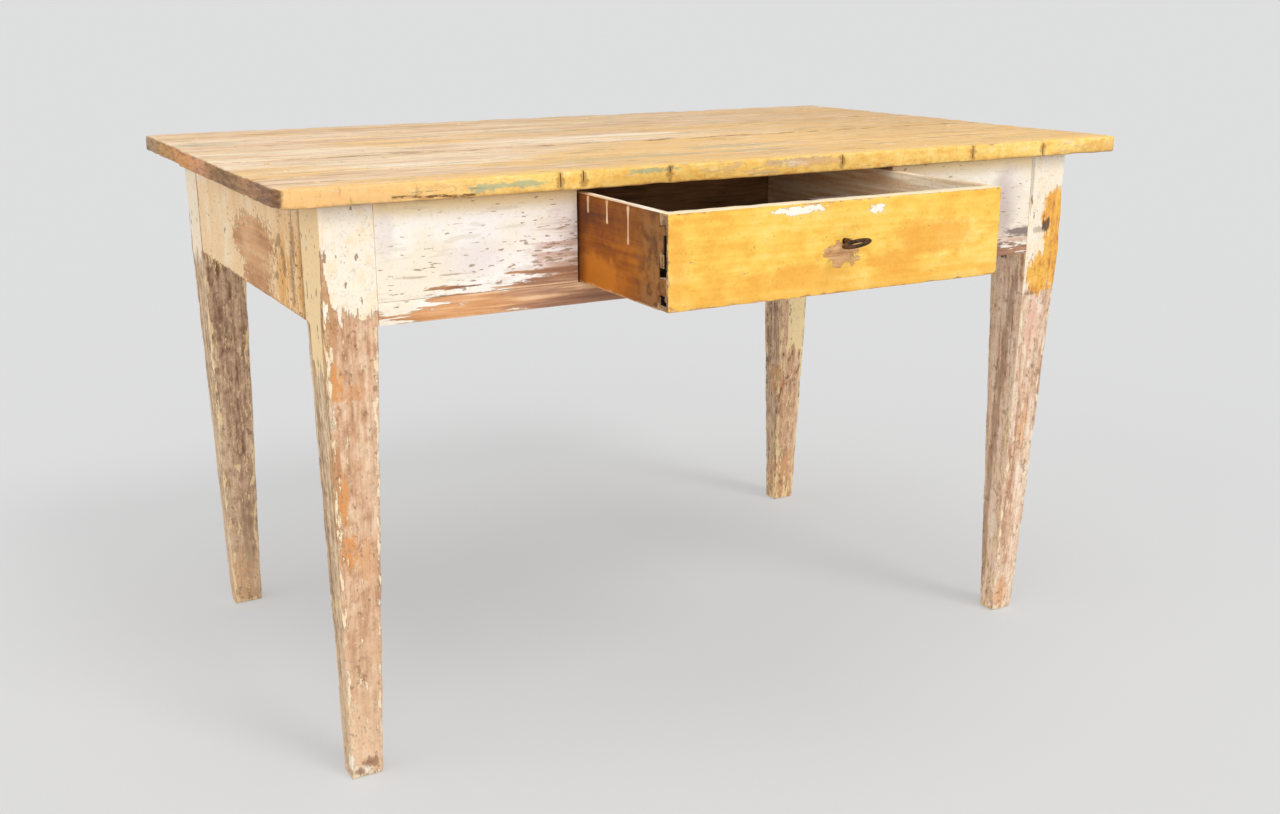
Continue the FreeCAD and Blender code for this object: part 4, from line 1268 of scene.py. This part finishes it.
yellow_front = board("drawer_front", drawer_low, drawer_high, eased=0.0016, chips=0.0014, grain=0, step=0.007)
for side in (-1, 1):
    for share in tail_shares:
        cut_with(yellow_front, tail("socket", side, share, joint_slack))
open_joint(yellow_front)
keyhole = add_rod(28, hole_radius, 2 * hole_reach, (key_axis.x, drawer_low.y, key_axis.z))
slot_low = Vector((key_axis.x - slot_half, drawer_low.y - hole_reach, key_axis.z - slot_length))
slot_high = Vector((key_axis.x + slot_half, drawer_low.y + hole_reach, key_axis.z))
cut_with(keyhole, add_block("keyhole_slot", slot_low, slot_high), "UNION")
cut_with(yellow_front, keyhole)
soften(yellow_front)
stand_in(yellow_front, "drawer_front", "drawer", drawer_front_finish())

# %% The drawer's sides
side_stain = drawer_side_finish()
for node, side in (("drawer_side_left", -1), ("drawer_side_right", 1)):
    low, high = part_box(node)
    low.y = drawer_high.y
    piece = board(node, low, high, eased=0.0012, chips=0.0011, grain=1)
    for share in tail_shares:
        cut_with(piece, tail("tail", side, share, 0.0), "UNION")
    if side < 0:
        open_joint(piece)
    soften(piece)
    stand_in(piece, node, "drawer", side_stain)

# %% The drawer's back and bottom
back_wood = plain_wood_finish("drawer_back_wood", (96, 68, 44), (166, 128, 90), (5, 60, 80))
bottom_wood = plain_wood_finish("drawer_bottom_wood", (170, 134, 98), (226, 194, 154), (5, 80, 60))
piece = board("drawer_back", *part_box("drawer_back"), eased=0.0012, chips=0.0010, grain=0, step=0.010)
stand_in(piece, "drawer_back", "drawer", back_wood)
for node in ("drawer_bottom_front", "drawer_bottom_rear"):
    piece = board(node, *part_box(node), eased=0.0009, chips=0.0008, grain=0, step=0.012)
    stand_in(piece, node, "drawer", bottom_wood)

# %% [markdown]
# Three runs of cream paint hang on the drawer's left side, from the day when its rim was painted. A run is
# a thin strip that swells where the drop stopped, so a flat block gets slices, its last ring is widened,
# and a Subdivision Surface rounds it off.

# %% The paint runs
run_thickness = 0.0012
run_width = 0.0038
run_step = 0.005
drop_length = 0.006
run_root = 0.008
run_places = ((-0.283, 0.718), (-0.333, 0.711), (-0.386, 0.693))


def run_finish():
    at = Surface("cream_paint_runs")
    clouds = at.noise((120, 120, 60), 3)
    colour = ramp(clouds, (0.40, (216, 172, 132)), (0.60, (242, 210, 172)))
    return at.lay(colour, 0.42 + (clouds - 0.5) * 0.3, clouds, 0.0003)


run_paint = run_finish()
for number, (y, end_height) in enumerate(run_places, start=1):
    start = Vector((side_low.x - run_thickness / 2, y - run_width / 2, end_height))
    end = Vector((side_low.x + run_thickness / 2, y + run_width / 2, side_high.z - 0.001))
    drip = add_block(f"paint_run_{number}", start, end)
    with editing(drip):
        slice_along(drip, 2, run_step)
        choose(drip, "VERT", lambda vertex: vertex.co.z < end_height + drop_length)
        bpy.ops.transform.resize(value=(1.2, 1.4, 1))
        choose(drip, "VERT", lambda vertex: vertex.co.z > side_high.z - run_root)
        bpy.ops.transform.resize(value=(1, 1.9, 1))
    rounding = drip.modifiers.new("rounding", "SUBSURF")
    rounding.levels = 2
    rounding.render_levels = 2
    apply_modifier(drip, rounding)
    soften(drip, 60)
    drip.data.materials.append(run_paint)
    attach(drip, "drawer")
    print(drip.name, len(drip.data.polygons), "faces")

# %% [markdown]
# ## The key and the lock
#
# The key has been left in its keyhole with its bow about level. It is a torus and a cylinder: the ring is
# widened to an oval bow and turned a little, the shank gets a raised collar by extruding a band of its
# faces outwards, and the two are joined with a small bit. The lock behind the drawer front keeps its solids
# and gets old iron too.


# %% The iron
def iron_finish(name, dark, light, rust_start):
    at = Surface(name)
    clouds = at.noise((120, 120, 120), 4, 0.6)
    grit = at.noise((700, 700, 700), 2)
    colour = ramp(clouds, (0.38, dark), (0.60, light))
    rust = rise(clouds * 0.5 + grit * 0.5, rust_start, rust_start + 0.06)
    colour = mixed(rust, colour, (112, 66, 38))
    roughness = 0.42 + rust * 0.35 + (grit - 0.5) * 0.2
    return at.lay(colour, roughness, clouds * 0.5 + grit * 0.5, 0.0002, metallic=0.75, gloss=0.5)


key_iron = iron_finish("dark_key_iron", (44, 32, 24), (82, 62, 48), 0.52)
lock_iron = iron_finish("old_lock_iron", (58, 50, 44), (108, 98, 88), 0.50)

# %% The key's bow
ring_wire = 0.0027
bow_widening = 1.6
bow_twist = math.radians(10)
ring_radius = (key_high.x - key_low.x) / 2 - ring_wire
ring_centre = Vector((key_axis.x, key_low.y + ring_radius + ring_wire, key_axis.z))

deselect_all()
bpy.ops.mesh.primitive_torus_add(
    location=ring_centre, major_segments=48, minor_segments=16,
    major_radius=ring_radius, minor_radius=ring_wire,
)
old_key = settled()
old_key.name = "key_forged"
with editing(old_key):
    choose_all()
    bpy.ops.transform.resize(value=(bow_widening, 1, 0.9), center_override=ring_centre)
    bpy.ops.transform.rotate(value=bow_twist, orient_axis="Y", center_override=ring_centre)

# %% The key's shank and bit
shank_radius = 0.003
shank_start = ring_centre.y + ring_radius
shank_length = key_high.y - shank_start
collar_start = key_axis.y - 0.0065
collar_end = collar_start + 0.003
collar_height, collar_eased = 0.0009, 0.0004
bit_length, bit_reach, bit_half, bit_eased = 0.0065, 0.008, 0.0015, 0.0003

shank = add_rod(24, shank_radius, shank_length, (key_axis.x, shank_start + shank_length / 2, key_axis.z))
with editing(shank):
    bisect(1, collar_start)
    bisect(1, collar_end)
    choose(shank, "FACE", lambda face: collar_start < face.calc_center_median().y < collar_end)
    bpy.ops.mesh.extrude_region_shrink_fatten(TRANSFORM_OT_shrink_fatten={"value": collar_height})
    choose(shank, "EDGE", lambda edge: edge.calc_face_angle(0) > 0.9)
    bevel(collar_eased, 2)
cut_with(old_key, shank, "UNION")
bit_low = Vector((key_axis.x, key_high.y - bit_length, key_axis.z - bit_half))
bit_high = Vector((key_axis.x + bit_reach, key_high.y, key_axis.z + bit_half))
bit = add_block("bit", bit_low, bit_high)
with editing(bit):
    ease(bit, bit_eased, 2)
cut_with(old_key, bit, "UNION")
soften(old_key)
stand_in(old_key, "key", "key", key_iron)

# %% [markdown]
# ## Underneath
#
# The battens, runners, guides and stops were never painted. They are plain sawn wood, a little eased at the
# edges, and they show only from below or through the open drawer. The nails and pegs keep their solids: the
# nails in the top were punched flush and painted over, so they stay close to the colour of the boards.

# %% Battens, runners, guides and stops
cross_wood = plain_wood_finish("raw_cross_wood", (132, 98, 68), (196, 158, 118), (70, 5, 70))
rail_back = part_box("front_rail")[1].y
for kind in ("top_batten", "drawer_runner", "drawer_guide", "drawer_stop"):
    for node in (f"{kind}_left", f"{kind}_right"):
        low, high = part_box(node)
        low.y = max(low.y, rail_back)
        piece = board(node, low, high, eased=0.0012, chips=0.0010, grain=1, step=0.012)
        stand_in(piece, node, "frame", cross_wood)


# %% Nails, pegs and the lock keep their solids
def covered_finish(name, dark, light, scale):
    """Paint over a nail's head or a peg's end."""
    at = Surface(name)
    clouds = at.noise((scale, scale, scale), 3)
    grit = at.noise((500, 500, 500), 2)
    colour = ramp(clouds, (0.40, dark), (0.60, light))
    colour = mixed(rise(grit, 0.62, 0.68) * 0.5, colour, (122, 86, 56))
    return at.lay(colour, 0.6 + (grit - 0.5) * 0.3, clouds * 0.5 + grit * 0.5, 0.0002)


nail_iron = iron_finish("rusty_nail_iron", (62, 50, 42), (104, 88, 74), 0.49)
kept_solids = {
    "top_nails": covered_finish("painted_nail_heads", (228, 190, 142), (246, 216, 170), 30),
    "tenon_pegs": covered_finish("painted_peg_ends", (244, 222, 184), (252, 240, 218), 40),
}
for kind in ("batten", "runner", "guide", "drawer"):
    kept_solids[f"{kind}_nails"] = nail_iron
for kind in ("plate", "case", "bolt", "screws"):
    kept_solids[f"lock_{kind}"] = lock_iron
for node, material in kept_solids.items():
    nodes[node].material_slots[0].material = material
print(len(kept_solids), "solids keep their shape")
